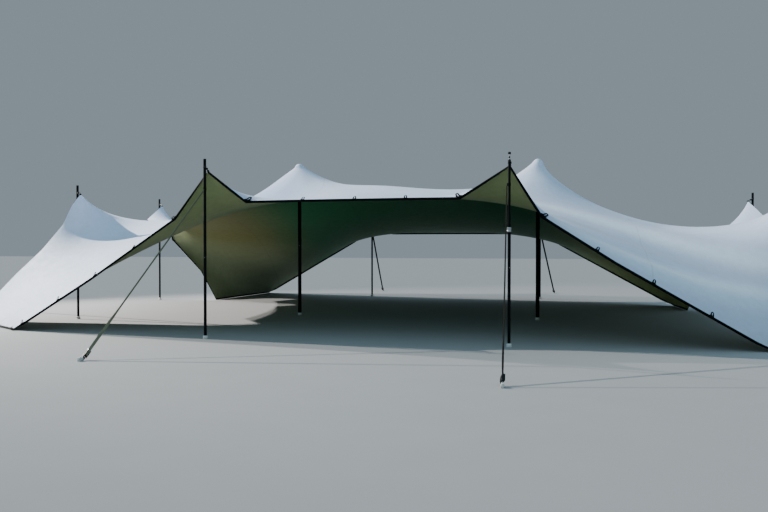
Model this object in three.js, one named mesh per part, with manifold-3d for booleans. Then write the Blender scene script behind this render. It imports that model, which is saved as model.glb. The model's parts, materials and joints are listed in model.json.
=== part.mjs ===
// A stretch tent: one stretched cloth canopy with webbing sewn round its edge, carried by two
// inner poles and eight edge poles. Each edge pole is held by a guy strap with a ratchet and a stake.
// Millimetres, +Z up. +X runs along the front edge and +Y runs from the front to the back.
import * as THREE from 'three';
import { mergeVertices } from 'three/addons/utils/BufferGeometryUtils.js';
import Module from 'manifold-3d';

const wasm = await Module();
wasm.setup();

const GAP = 0.3;

// The cloth is a net of cells. It is stretched between the stations of its four edges and two peaks.
const CELLS_ALONG = 34;
const CELLS_DEEP = 21;
const PULL_ALONG = 1.6;
const PULL_DEEP = 1.0;
const PULL_EDGE = 6.0;
const RELAX_STEPS = 900;
const RELAX_RATE = 1.7;
const CLOTH_THICK = 10;
const WEBBING_WIDE = 45;
const GROUND_EDGE = 12;
const PANEL_SEAMS = [0, 7, 14, 20, 27, 34];

const EDGE_TIP = 2760;
const SIDE_TIP = 2560;
const BACK_TIP = 2210;
const PEAK = 3260;

// Station: cell along its edge, place, and whether the edge is held straight to the next station.
const FRONT_EDGE = [
  { cell: 0, at: [-5950, 1700, GROUND_EDGE], straight: true },
  { cell: 4, at: [-3960, 300, GROUND_EDGE], straight: true },
  { cell: 7, at: [-2320, 160, 950], straight: true },
  { cell: 10, at: [-640, 0, 1980], straight: true },
  { cell: 12, at: [-30, 0, EDGE_TIP], straight: true },
  { cell: 14, at: [620, 30, 2250], straight: false },
  { cell: 20, at: [4130, 30, 2270], straight: true },
  { cell: 22, at: [4900, 50, EDGE_TIP], straight: true },
  { cell: 24, at: [5380, 60, 1980], straight: true },
  { cell: 26, at: [6460, 95, 1285], straight: true },
  { cell: 30, at: [8650, 170, GROUND_EDGE], straight: true },
  { cell: 34, at: [10700, 1500, GROUND_EDGE], straight: true },
];
const LEFT_EDGE = [
  { cell: 0, at: [-5950, 1700, GROUND_EDGE], straight: true },
  { cell: 2, at: [-5170, 2020, 930], straight: true },
  { cell: 3, at: [-4700, 2215, 1430], straight: true },
  { cell: 4, at: [-4330, 2370, 1930], straight: true },
  { cell: 5, at: [-4160, 2440, 2340], straight: true },
  { cell: 6, at: [-4010, 2500, SIDE_TIP], straight: true },
  { cell: 8, at: [-4100, 3500, 2120], straight: false },
  { cell: 14, at: [-5050, 7100, 2160], straight: true },
  { cell: 16, at: [-5160, 8100, SIDE_TIP], straight: true },
  { cell: 17, at: [-4980, 8140, 2120], straight: true },
  { cell: 18, at: [-4890, 8150, 1630], straight: true },
  { cell: 20, at: [-4100, 8250, 790], straight: true },
  { cell: 21, at: [-3720, 8400, GROUND_EDGE], straight: true },
];
const RIGHT_EDGE = [
  { cell: 0, at: [10700, 1500, GROUND_EDGE], straight: true },
  { cell: 2, at: [10180, 1780, 930], straight: true },
  { cell: 3, at: [9930, 1970, 1430], straight: true },
  { cell: 4, at: [9730, 2120, 1930], straight: true },
  { cell: 5, at: [9610, 2215, 2340], straight: true },
  { cell: 6, at: [9500, 2300, SIDE_TIP], straight: true },
  { cell: 8, at: [9450, 3400, 1780], straight: false },
  { cell: 14, at: [9980, 6450, 1860], straight: true },
  { cell: 16, at: [9555, 7390, 2500], straight: true },
  { cell: 17, at: [9420, 7450, 2080], straight: true },
  { cell: 18, at: [9300, 7500, 1600], straight: true },
  { cell: 20, at: [8700, 7550, 770], straight: true },
  { cell: 21, at: [8300, 7600, GROUND_EDGE], straight: true },
];
const BACK_EDGE = [
  { cell: 0, at: [-3720, 8400, GROUND_EDGE], straight: true },
  { cell: 6, at: [-3500, 11800, GROUND_EDGE], straight: true },
  { cell: 14, at: [-500, 10900, 1600], straight: true },
  { cell: 15, at: [10, 10800, BACK_TIP], straight: true },
  { cell: 16, at: [660, 10750, 1820], straight: false },
  { cell: 21, at: [4200, 10750, 1820], straight: true },
  { cell: 22, at: [4800, 10800, BACK_TIP], straight: true },
  { cell: 23, at: [5350, 10750, 1520], straight: true },
  { cell: 30, at: [8150, 9000, GROUND_EDGE], straight: true },
  { cell: 34, at: [8300, 7600, GROUND_EDGE], straight: true },
];
const PEAKS = [
  { name: 'inner_left', along: 13, deep: 9, at: [10, 4500, PEAK] },
  { name: 'inner_right', along: 22, deep: 9, at: [5080, 4500, PEAK] },
];
// Where the cloth is held out round a peak, or sags. The lift of a node, in mm, fades out over the reach,
// in cells.
const LIFTS = [
  { along: 12.3, deep: 9, reach: 1.2, lift: 105 },
  { along: 14.3, deep: 9, reach: 1.2, lift: -25 },
  { along: 23, deep: 9, reach: 1.2, lift: 110 },
  { along: 8.5, deep: 1, reach: 1.8, lift: -22 },
  { along: 2, deep: 10, reach: 2.5, lift: -8 },
  { along: 1.2, deep: 17, reach: 1.2, lift: -30 },
  { along: 30, deep: 8, reach: 3, lift: -11 },
  { along: 32.3, deep: 15.5, reach: 1.2, lift: -70 },
];

// An edge pole stands this far outside the tip of the cloth, and rises this far above it.
const POLE_STAND_OFF = 120;
const POLE_ABOVE_TIP = 180;
const EDGE_POLE_RADIUS = 24;
const UPPER_TUBE_RADIUS = 20;
const INNER_POLE_RADIUS = 38;
const HEAD_LONG = 180;
const HEAD_TIP_RADIUS = 12;
const HEAD_TIP_LONG = 50;
const SPIGOT_RADIUS = 9;
const SPIGOT_HIGH = 70;
const KNOB_RADIUS = 16;
const POLE_CAP_DROP = 4;
const HOOK_WIDE = 10;
const HOOK_HIGH = 14;
const HOOK_PAST_TIP = 8;
const COLLAR_RADIUS = 33;
const COLLAR_HIGH = 70;
const COLLAR_LEVEL = 1770;
const FOOT_HIGH = 55;
const FOOT_RADIUS = 44;
const FOOT_TOP_RADIUS = 32;
const ROUND_SIDES = 24;

const STRAP_WIDE = 45;
const STRAP_THICK = 5;
const RATCHET_LONG = 150;
const RATCHET_WIDE = 62;
const RATCHET_HIGH = 44;
const RATCHET_FROM_STAKE = 130;
const STRAP_BELOW_TIP = 310;
const STRAP_TO_STAKE_LEVEL = 18;
const STAKE_RADIUS = 11;
const STAKE_HIGH = 62;
const STAKE_CAP_LONG = 88;
const STAKE_CAP_WIDE = 36;
const STAKE_CAP_HIGH = 50;

// Edge pole: the node of the net that it lifts, the way out from the cloth, the place of its stake, and
// how far its strap is twisted.
const EDGE_POLES = [
  { name: 'front_left', node: [12, 0], out: [0, -1], stake: [-530, -2890], twist: Math.PI / 2 },
  { name: 'front_right', node: [22, 0], out: [0, -1], stake: [5140, -3660], twist: 0 },
  { name: 'side_left_front', node: [0, 6], out: [-0.85, 0.52], stake: [-6100, 3800], twist: 0 },
  { name: 'side_left_back', node: [0, 16], out: [-0.85, 0.53], stake: [-8500, 8200], twist: 0 },
  { name: 'side_right_front', node: [34, 6], out: [0.88, 0.47], stake: [11700, 3500], twist: 0 },
  { name: 'side_right_back', node: [34, 16], out: [0.84, 0.54], stake: [11700, 8800], twist: 0 },
  { name: 'back_left', node: [15, 21], out: [0, 1], stake: [-300, 13600], twist: 0 },
  { name: 'back_right', node: [22, 21], out: [0, 1], stake: [5100, 13600], twist: 0 },
];

const PEG_RADIUS = 10;
const PEG_HIGH = 70;
const PEG_HEAD_RADIUS = 24;
const PEG_HEAD_HIGH = 12;

const CLOTH_FINISH = { color: 0xdfe4ea, roughness: 0.75, metalness: 0 };
const WEBBING_FINISH = { color: 0x15171a, roughness: 0.85, metalness: 0 };
const POLE_FINISH = { color: 0x141517, roughness: 0.45, metalness: 0.3 };
const COLLAR_FINISH = { color: 0xb9bdc2, roughness: 0.35, metalness: 0.9 };
const FOOT_FINISH = { color: 0xe8e8e4, roughness: 0.6, metalness: 0 };
const STAKE_FINISH = { color: 0xe4e4df, roughness: 0.55, metalness: 0 };
const PEG_FINISH = { color: 0x8d9298, roughness: 0.5, metalness: 0.8 };

const vector = (place) => new THREE.Vector3(...place);

function piece(name, geometry, finish) {
  const mesh = new THREE.Mesh(geometry, new THREE.MeshStandardMaterial(finish));
  mesh.name = name;
  return mesh;
}

function solidOf(geometry) {
  const bare = geometry.clone();
  bare.deleteAttribute('normal');
  bare.deleteAttribute('uv');
  const merged = mergeVertices(bare, 1e-3);
  const vertProperties = new Float32Array(merged.attributes.position.array);
  const triVerts = new Uint32Array(merged.index.array);
  return new wasm.Manifold(new wasm.Mesh({ numProp: 3, vertProperties, triVerts }));
}

function joined(geometries) {
  const solids = geometries.map(solidOf);
  const whole = solids.reduce((sum, next) => sum.add(next));
  const mesh = whole.getMesh();
  const geometry = new THREE.BufferGeometry();
  geometry.setAttribute('position', new THREE.BufferAttribute(mesh.vertProperties, 3));
  geometry.setIndex(new THREE.BufferAttribute(mesh.triVerts, 1));
  geometry.computeVertexNormals();
  return geometry;
}

// A solid of revolution about Z from [radius, height] pairs, which start and end on the axis.
function turned(profile, sides = ROUND_SIDES) {
  const points = profile.map(([radius, height]) => new THREE.Vector2(radius, height));
  const geometry = new THREE.LatheGeometry(points, sides);
  geometry.rotateX(Math.PI / 2);
  return geometry;
}

// The nodes of the net that the edges and the peaks hold.
function heldNodes() {
  const held = new Map();
  const hold = (along, deep, place) => held.set(`${along},${deep}`, place);
  const holdEdge = (stations, nodeOf) => {
    stations.forEach((station, k) => {
      const [along, deep] = nodeOf(station.cell);
      hold(along, deep, vector(station.at));
      const next = stations[k + 1];
      if (!next || !station.straight) return;
      for (let cell = station.cell + 1; cell < next.cell; cell += 1) {
        const share = (cell - station.cell) / (next.cell - station.cell);
        const [a, d] = nodeOf(cell);
        hold(a, d, vector(station.at).lerp(vector(next.at), share));
      }
    });
  };
  holdEdge(FRONT_EDGE, (cell) => [cell, 0]);
  holdEdge(BACK_EDGE, (cell) => [cell, CELLS_DEEP]);
  holdEdge(LEFT_EDGE, (cell) => [0, cell]);
  holdEdge(RIGHT_EDGE, (cell) => [CELLS_ALONG, cell]);
  PEAKS.forEach(({ along, deep, at }) => hold(along, deep, vector(at)));
  return held;
}

function liftAt(along, deep) {
  return LIFTS.reduce((sum, place) => {
    const far = Math.hypot(along - place.along, deep - place.deep) / place.reach;
    return sum + place.lift * Math.exp(-far * far);
  }, 0);
}

// Each free node settles at the weighted mean of its neighbours, as a net in tension does, plus its lift.
function stretchedNet() {
  const held = heldNodes();
  const net = [];
  for (let d = 0; d <= CELLS_DEEP; d += 1) {
    net.push([]);
    for (let a = 0; a <= CELLS_ALONG; a += 1) {
      const start = new THREE.Vector3(a * 460 - 5000, d * 500, 2000);
      net[d].push((held.get(`${a},${d}`) ?? start).clone());
    }
  }
  const neighbours = (a, d) => {
    const alongPull = d === 0 || d === CELLS_DEEP ? PULL_EDGE : PULL_ALONG;
    const deepPull = a === 0 || a === CELLS_ALONG ? PULL_EDGE : PULL_DEEP;
    return [
      [a - 1, d, alongPull],
      [a + 1, d, alongPull],
      [a, d - 1, deepPull],
      [a, d + 1, deepPull],
    ].filter(([x, y]) => x >= 0 && y >= 0 && x <= CELLS_ALONG && y <= CELLS_DEEP);
  };
  for (let step = 0; step < RELAX_STEPS; step += 1) {
    for (let d = 0; d <= CELLS_DEEP; d += 1) {
      for (let a = 0; a <= CELLS_ALONG; a += 1) {
        if (held.has(`${a},${d}`)) continue;
        const mean = new THREE.Vector3();
        let total = 0;
        for (const [x, y, pull] of neighbours(a, d)) {
          mean.addScaledVector(net[y][x], pull);
          total += pull;
        }
        mean.divideScalar(total);
        mean.z += liftAt(a, d);
        net[d][a].lerp(mean, RELAX_RATE);
      }
    }
  }
  return net;
}

const NET = stretchedNet();

function netNormal(along, deep) {
  const low = (value) => Math.max(value - 1, 0);
  const across = NET[deep][Math.min(along + 1, CELLS_ALONG)].clone().sub(NET[deep][low(along)]);
  const back = NET[Math.min(deep + 1, CELLS_DEEP)][along].clone().sub(NET[low(deep)][along]);
  return across.cross(back).normalize();
}

const NORMALS = NET.map((row, deep) => row.map((node, along) => netNormal(along, deep)));
PEAKS.forEach(({ along, deep }) => NORMALS[deep][along].set(0, 0, 1));

// The value between four neighbouring nodes of the net, for places inside a cell.
function between(field, along, deep) {
  const a = Math.min(Math.floor(along), CELLS_ALONG - 1);
  const d = Math.min(Math.floor(deep), CELLS_DEEP - 1);
  const near = field[d][a].clone().lerp(field[d][a + 1], along - a);
  const far = field[d + 1][a].clone().lerp(field[d + 1][a + 1], along - a);
  return near.lerp(far, deep - d);
}

// A closed sheet of even thickness over a grid of [along, deep] places on the net.
function sheet(grid) {
  const rows = grid.length;
  const columns = grid[0].length;
  const positions = [];
  for (const side of [1, -1]) {
    for (const row of grid) {
      for (const [along, deep] of row) {
        const normal = between(NORMALS, along, deep).normalize();
        const point = between(NET, along, deep).addScaledVector(normal, (side * CLOTH_THICK) / 2);
        positions.push(point.x, point.y, point.z);
      }
    }
  }
  const top = (r, c) => r * columns + c;
  const under = (r, c) => rows * columns + r * columns + c;
  const faces = [];
  for (let r = 0; r < rows - 1; r += 1) {
    for (let c = 0; c < columns - 1; c += 1) {
      faces.push(top(r, c), top(r, c + 1), top(r + 1, c + 1), top(r, c), top(r + 1, c + 1), top(r + 1, c));
      faces.push(under(r, c), under(r + 1, c + 1), under(r, c + 1));
      faces.push(under(r, c), under(r + 1, c), under(r + 1, c + 1));
    }
  }
  const rim = [];
  for (let c = 0; c < columns - 1; c += 1) rim.push([0, c]);
  for (let r = 0; r < rows - 1; r += 1) rim.push([r, columns - 1]);
  for (let c = columns - 1; c > 0; c -= 1) rim.push([rows - 1, c]);
  for (let r = rows - 1; r > 0; r -= 1) rim.push([r, 0]);
  // The diagonal of each rim face runs the same way on both sides of a seam, so that they fit.
  rim.forEach(([r, c], k) => {
    const [nextR, nextC] = rim[(k + 1) % rim.length];
    if (nextR + nextC > r + c) {
      faces.push(under(r, c), under(nextR, nextC), top(nextR, nextC));
      faces.push(under(r, c), top(nextR, nextC), top(r, c));
    } else {
      faces.push(under(r, c), under(nextR, nextC), top(r, c));
      faces.push(under(nextR, nextC), top(nextR, nextC), top(r, c));
    }
  });
  const geometry = new THREE.BufferGeometry();
  geometry.setAttribute('position', new THREE.Float32BufferAttribute(positions, 3));
  geometry.setIndex(faces);
  geometry.computeVertexNormals();
  return geometry;
}

// How many cells a width of cloth takes at each end of a row or a column of the net.
const cellsFor = (size, from, to) => size / from.distanceTo(to);
const frontInset = (a, size) => cellsFor(size, NET[0][a], NET[1][a]);
const backInset = (a, size) => cellsFor(size, NET[CELLS_DEEP][a], NET[CELLS_DEEP - 1][a]);
const leftInset = (d, size) => cellsFor(size, NET[d][0], NET[d][1]);
const rightInset = (d, size) => cellsFor(size, NET[d][CELLS_ALONG], NET[d][CELLS_ALONG - 1]);

function blended(inset, cell, last, size) {
  const low = Math.min(Math.floor(cell), last - 1);
  return THREE.MathUtils.lerp(inset(low, size), inset(low + 1, size), cell - low);
}

const range = (from, to) => Array.from({ length: to - from + 1 }, (_, k) => from + k);
const frontAt = (along, size) => blended(frontInset, along, CELLS_ALONG, size);
const backAt = (along, size) => CELLS_DEEP - blended(backInset, along, CELLS_ALONG, size);
const leftAt = (deep, size) => blended(leftInset, deep, CELLS_DEEP, size);
const rightAt = (deep, size) => CELLS_ALONG - blended(rightInset, deep, CELLS_DEEP, size);

// A panel of the canopy between two seams, which stops short of the webbing on the outer edges.
function canopyPanel(from, to) {
  const inner = WEBBING_WIDE + GAP;
  const columnAt = (a, deep) => {
    if (a === 0) return leftAt(deep, inner);
    if (a === CELLS_ALONG) return rightAt(deep, inner);
    const seam = cellsFor(GAP / 2, NET[Math.round(deep)][a], NET[Math.round(deep)][a + 1]);
    if (a === from) return a + seam;
    if (a === to) return a - seam;
    return a;
  };
  const grid = range(0, CELLS_DEEP).map((d) =>
    range(from, to).map((a) => {
      const along = columnAt(a, d);
      if (d === 0) return [along, frontAt(along, inner)];
      if (d === CELLS_DEEP) return [along, backAt(along, inner)];
      return [along, d];
    }),
  );
  return sheet(grid);
}

function acrossWebbing(nearDeep, farDeep) {
  return [nearDeep, farDeep].map((deepAt) => range(0, CELLS_ALONG).map((a) => [a, deepAt(a)]));
}

function alongWebbing(outer, inner) {
  const ends = WEBBING_WIDE + GAP;
  return range(0, CELLS_DEEP).map((d) =>
    [outer, inner].map((alongOf) => {
      const along = alongOf(d);
      if (d === 0) return [along, frontAt(along, ends)];
      if (d === CELLS_DEEP) return [along, backAt(along, ends)];
      return [along, d];
    }),
  );
}

function addCloth(tent) {
  PANEL_SEAMS.slice(1).forEach((to, k) => {
    tent.add(piece(`canopy_panel_${k + 1}`, canopyPanel(PANEL_SEAMS[k], to), CLOTH_FINISH));
  });
  const front = acrossWebbing(() => 0, (a) => frontAt(a, WEBBING_WIDE));
  const back = acrossWebbing((a) => backAt(a, WEBBING_WIDE), () => CELLS_DEEP);
  const left = alongWebbing(() => 0, (d) => leftAt(d, WEBBING_WIDE));
  const right = alongWebbing((d) => rightAt(d, WEBBING_WIDE), () => CELLS_ALONG);
  tent.add(piece('front_edge_webbing', sheet(front), WEBBING_FINISH));
  tent.add(piece('back_edge_webbing', sheet(back), WEBBING_FINISH));
  tent.add(piece('left_edge_webbing', sheet(left), WEBBING_FINISH));
  tent.add(piece('right_edge_webbing', sheet(right), WEBBING_FINISH));
}

function addFoot(tent, name, x, y) {
  const foot = piece(
    `${name}_pole_foot`,
    turned([[0, 0], [FOOT_RADIUS, 0], [FOOT_TOP_RADIUS, FOOT_HIGH], [0, FOOT_HIGH]]),
    FOOT_FINISH,
  );
  foot.position.set(x, y, 0);
  tent.add(foot);
}

// An inner pole has a rounded taper for a head, which stands just under the peak of the cloth.
function addInnerPole(tent, { name, at: [x, y, z] }) {
  const bottom = FOOT_HIGH + GAP;
  const top = z - CLOTH_THICK / 2 - GAP;
  const profile = [
    [0, bottom],
    [INNER_POLE_RADIUS, bottom],
    [INNER_POLE_RADIUS, top - HEAD_LONG],
    [HEAD_TIP_RADIUS, top - HEAD_TIP_LONG],
    [0, top],
  ];
  const pole = piece(`${name}_pole`, turned(profile), POLE_FINISH);
  pole.position.set(x, y, 0);
  tent.add(pole);
  addFoot(tent, name, x, y);
}

// The hook at the pole head, as a bar from the pole's axis. The tip of the cloth hangs just under it.
function hookBar(reach, level, direction) {
  const bar = new THREE.BoxGeometry(reach, HOOK_WIDE, HOOK_HIGH);
  bar.translate(reach / 2, 0, level);
  bar.rotateZ(Math.atan2(direction.y, direction.x));
  return bar;
}

function plainPoleProfile(bottom, radius, top) {
  return [[0, bottom], [radius, bottom], [radius, top - POLE_CAP_DROP], [radius * 0.8, top], [0, top]];
}

// The head of a telescopic pole: a spigot with a knob on it.
function knobbedPoleProfile(bottom, radius, top) {
  const shoulder = top - SPIGOT_HIGH;
  return [
    [0, bottom],
    [radius, bottom],
    [radius, shoulder],
    [SPIGOT_RADIUS, shoulder],
    [SPIGOT_RADIUS, top - KNOB_RADIUS],
    [KNOB_RADIUS, top - KNOB_RADIUS],
    [KNOB_RADIUS * 0.6, top],
    [0, top],
  ];
}

function addEdgePole(tent, { name, node: [along, deep], out, stake, twist }) {
  const tip = NET[deep][along];
  const outward = new THREE.Vector3(out[0], out[1], 0).normalize();
  const base = vector([tip.x, tip.y, 0]).addScaledVector(outward, POLE_STAND_OFF);
  const top = tip.z + POLE_ABOVE_TIP;
  const hookLevel = tip.z + (CLOTH_THICK / 2) * NORMALS[deep][along].z + GAP + HOOK_HIGH / 2;
  const hook = hookBar(POLE_STAND_OFF + HOOK_PAST_TIP, hookLevel, outward.clone().negate());
  const bottom = FOOT_HIGH + GAP;
  const telescopic = name === 'front_right';
  const headRadius = telescopic ? UPPER_TUBE_RADIUS : EDGE_POLE_RADIUS;
  const headBottom = telescopic ? COLLAR_LEVEL + GAP : bottom;
  const profileOf = telescopic ? knobbedPoleProfile : plainPoleProfile;
  const head = joined([turned(profileOf(headBottom, headRadius, top)), hook]);
  const upper = piece(telescopic ? `${name}_pole_upper_tube` : `${name}_pole`, head, POLE_FINISH);
  upper.position.copy(base);
  tent.add(upper);
  if (telescopic) {
    const lower = turned([[0, bottom], [EDGE_POLE_RADIUS, bottom], [EDGE_POLE_RADIUS, COLLAR_LEVEL], [0, COLLAR_LEVEL]]);
    const tube = piece(`${name}_pole_lower_tube`, lower, POLE_FINISH);
    tube.position.copy(base);
    tent.add(tube);
    tent.add(poleCollar(name, base));
  }
  addFoot(tent, name, base.x, base.y);
  addGuy(tent, name, base, tip.z - STRAP_BELOW_TIP, stake, twist, headRadius);
}

// The clamp round the joint of the two tubes, bored for both.
function poleCollar(name, base) {
  const low = COLLAR_LEVEL - COLLAR_HIGH / 2;
  const high = COLLAR_LEVEL + COLLAR_HIGH / 2;
  const lowBore = EDGE_POLE_RADIUS + GAP;
  const highBore = UPPER_TUBE_RADIUS + GAP;
  const step = COLLAR_LEVEL + GAP;
  const ring = turned([
    [lowBore, low],
    [COLLAR_RADIUS, low],
    [COLLAR_RADIUS, high],
    [highBore, high],
    [highBore, step],
    [lowBore, step],
    [lowBore, low],
  ]);
  const collar = piece(`${name}_pole_collar`, ring, COLLAR_FINISH);
  collar.position.copy(base);
  return collar;
}

// A taut strap from the pole to the near face of the stake's cap, with its ratchet near the stake.
function addGuy(tent, name, base, level, stakePlace, twist, poleRadius) {
  const from = new THREE.Vector3(base.x, base.y, level);
  const toPole = new THREE.Vector3(base.x - stakePlace[0], base.y - stakePlace[1], 0).normalize();
  const to = new THREE.Vector3(stakePlace[0], stakePlace[1], STRAP_TO_STAKE_LEVEL);
  to.addScaledVector(toPole, STAKE_CAP_LONG / 2);
  const line = to.clone().sub(from);
  const run = Math.hypot(line.x, line.y);
  const slope = Math.atan2(-line.z, run);
  const halfDeep = (STRAP_WIDE * Math.abs(Math.sin(twist)) + STRAP_THICK * Math.abs(Math.cos(twist))) / 2;
  const trim = (radius) => (radius + GAP + halfDeep * Math.sin(slope)) / Math.cos(slope);
  const start = trim(poleRadius);
  const end = line.length() - trim(0);
  const strap = new THREE.BoxGeometry(end - start, STRAP_WIDE, STRAP_THICK);
  strap.translate((start + end) / 2, 0, 0);
  const ratchet = new THREE.BoxGeometry(RATCHET_LONG, RATCHET_WIDE, RATCHET_HIGH);
  ratchet.translate(end - RATCHET_FROM_STAKE - RATCHET_LONG / 2, 0, 0);
  const whole = joined([strap, ratchet]);
  whole.rotateX(twist);
  whole.rotateY(slope);
  whole.rotateZ(Math.atan2(line.y, line.x));
  whole.translate(from.x, from.y, from.z);
  tent.add(piece(`${name}_guy_strap`, whole, WEBBING_FINISH));
  tent.add(stakeAt(name, stakePlace, Math.atan2(line.y, line.x)));
}

// A stake driven nearly flush, with a block of a cap round its head in line with the strap.
function stakeAt(name, [x, y], turn) {
  const cap = new THREE.BoxGeometry(STAKE_CAP_LONG, STAKE_CAP_WIDE, STAKE_CAP_HIGH);
  cap.translate(0, 0, STAKE_CAP_HIGH / 2);
  cap.rotateZ(turn);
  const rod = turned([[0, 0], [STAKE_RADIUS, 0], [STAKE_RADIUS, STAKE_HIGH], [0, STAKE_HIGH]]);
  const stake = piece(`${name}_stake`, joined([cap, rod]), STAKE_FINISH);
  stake.position.set(x, y, 0);
  return stake;
}

// A peg just outside a corner of the cloth that is held to the ground.
function addPeg(tent, name, [along, deep]) {
  const corner = NET[deep][along];
  const lean = NORMALS[deep][along].clone().setZ(0);
  const clear = PEG_RADIUS + GAP + (CLOTH_THICK / 2) * lean.length();
  lean.normalize();
  const peg = piece(
    `${name}_ground_peg`,
    turned([
      [0, 0],
      [PEG_RADIUS, 0],
      [PEG_RADIUS, PEG_HIGH - PEG_HEAD_HIGH],
      [PEG_HEAD_RADIUS, PEG_HIGH - PEG_HEAD_HIGH],
      [PEG_HEAD_RADIUS, PEG_HIGH],
      [0, PEG_HIGH],
    ]),
    PEG_FINISH,
  );
  peg.position.set(corner.x + lean.x * clear, corner.y + lean.y * clear, 0);
  tent.add(peg);
}

function addPegs(tent) {
  addPeg(tent, 'front_left', [FRONT_EDGE[1].cell, 0]);
  addPeg(tent, 'front_right', [FRONT_EDGE[10].cell, 0]);
  addPeg(tent, 'back_left', [BACK_EDGE[1].cell, CELLS_DEEP]);
  addPeg(tent, 'back_right', [BACK_EDGE[8].cell, CELLS_DEEP]);
}

function stretchTent() {
  const tent = new THREE.Group();
  addCloth(tent);
  PEAKS.forEach((peak) => addInnerPole(tent, peak));
  EDGE_POLES.forEach((pole) => addEdgePole(tent, pole));
  addPegs(tent);
  const middle = new THREE.Box3().setFromObject(tent).getCenter(new THREE.Vector3());
  tent.position.set(-middle.x, -middle.y, 0);
  return tent;
}

const group = new THREE.Group();
group.add(stretchTent());

export default group;
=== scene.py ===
"""The looks of a stretch tent, in metres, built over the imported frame. Net coordinates are counted in
cells of the net, along the front edge and deep from the front to the back."""

import itertools
import json
import math

import bmesh
import bpy
import numpy as np
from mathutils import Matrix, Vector

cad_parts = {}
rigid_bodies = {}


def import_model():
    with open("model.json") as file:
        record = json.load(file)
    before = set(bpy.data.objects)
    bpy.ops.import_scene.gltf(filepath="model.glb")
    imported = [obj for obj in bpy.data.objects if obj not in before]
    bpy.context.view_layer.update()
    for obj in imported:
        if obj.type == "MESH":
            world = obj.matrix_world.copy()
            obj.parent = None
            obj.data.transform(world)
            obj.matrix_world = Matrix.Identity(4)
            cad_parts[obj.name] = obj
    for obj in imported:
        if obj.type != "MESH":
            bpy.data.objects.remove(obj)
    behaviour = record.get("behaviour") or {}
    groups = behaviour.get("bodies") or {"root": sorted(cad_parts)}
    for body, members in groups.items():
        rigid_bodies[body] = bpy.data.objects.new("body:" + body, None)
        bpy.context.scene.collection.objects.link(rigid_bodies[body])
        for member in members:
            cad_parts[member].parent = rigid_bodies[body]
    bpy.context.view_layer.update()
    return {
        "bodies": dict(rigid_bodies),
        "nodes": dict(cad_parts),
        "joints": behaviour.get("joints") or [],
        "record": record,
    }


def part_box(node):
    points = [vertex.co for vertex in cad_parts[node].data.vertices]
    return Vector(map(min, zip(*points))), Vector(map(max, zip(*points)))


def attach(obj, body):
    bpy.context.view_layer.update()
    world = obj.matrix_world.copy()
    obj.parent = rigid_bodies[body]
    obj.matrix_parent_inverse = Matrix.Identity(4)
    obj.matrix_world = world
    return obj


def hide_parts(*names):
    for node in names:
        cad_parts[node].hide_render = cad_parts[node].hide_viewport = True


BODY = "root"

CELLS_ALONG = 34
CELLS_DEEP = 21
FINE = 8
PULL_ALONG = 1.6
PULL_DEEP = 1.0
PULL_EDGE = 6.0
RELAX_RATE = 1.94
GROUND_EDGE = 0.012
EDGE_TIP = 2.76
SIDE_TIP = 2.56
BACK_TIP = 2.21
PEAK = 3.26
# What a pole head holds of the cloth: its reach in cells, its radius, and the cloth's fall over it.
HEAD_CELLS = 0.4
HEAD_RADIUS = 0.105
HEAD_DROP = 0.085
FLAT_WIDTH = 15.0
FLAT_DEPTH = 10.5
CELL_WIDE = FLAT_WIDTH / CELLS_ALONG
CLOTH_THICK = 0.003
PANEL_SEAMS = (7, 14, 20, 27)

FREE = "free"

# Station: cell along its edge and place. The edge is held straight to the next one, unless it is free.
FRONT_EDGE = (
    (0, (-5.95, 1.7, GROUND_EDGE)),
    (4, (-3.96, 0.3, GROUND_EDGE)),
    (7, (-2.32, 0.16, 0.95)),
    (10, (-0.64, 0, 1.98)),
    (12, (-0.03, 0, EDGE_TIP)),
    (14, (0.62, 0.03, 2.25), FREE),
    (20, (4.13, 0.03, 2.27)),
    (22, (4.9, 0.05, EDGE_TIP)),
    (24, (5.38, 0.06, 1.98)),
    (26, (6.46, 0.095, 1.285)),
    (30, (8.65, 0.17, GROUND_EDGE)),
    (34, (10.7, 1.5, GROUND_EDGE)),
)
LEFT_EDGE = (
    (0, (-5.95, 1.7, GROUND_EDGE)),
    (2, (-5.17, 2.02, 0.93)),
    (3, (-4.7, 2.215, 1.43)),
    (4, (-4.33, 2.37, 1.93)),
    (5, (-4.16, 2.44, 2.34)),
    (6, (-4.01, 2.5, SIDE_TIP)),
    (8, (-4.1, 3.5, 2.12), FREE),
    (14, (-5.05, 7.1, 2.16)),
    (16, (-5.16, 8.1, SIDE_TIP)),
    (17, (-4.98, 8.14, 2.12)),
    (18, (-4.89, 8.15, 1.63)),
    (20, (-4.1, 8.25, 0.79)),
    (21, (-3.72, 8.4, GROUND_EDGE)),
)
RIGHT_EDGE = (
    (0, (10.7, 1.5, GROUND_EDGE)),
    (2, (10.18, 1.78, 0.93)),
    (3, (9.93, 1.97, 1.43)),
    (4, (9.73, 2.12, 1.93)),
    (5, (9.61, 2.215, 2.34)),
    (6, (9.5, 2.3, SIDE_TIP)),
    (8, (9.45, 3.4, 1.78), FREE),
    (14, (9.98, 6.45, 1.86)),
    (16, (9.555, 7.39, 2.5)),
    (17, (9.42, 7.45, 2.08)),
    (18, (9.3, 7.5, 1.6)),
    (20, (8.7, 7.55, 0.77)),
    (21, (8.3, 7.6, GROUND_EDGE)),
)
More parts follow.
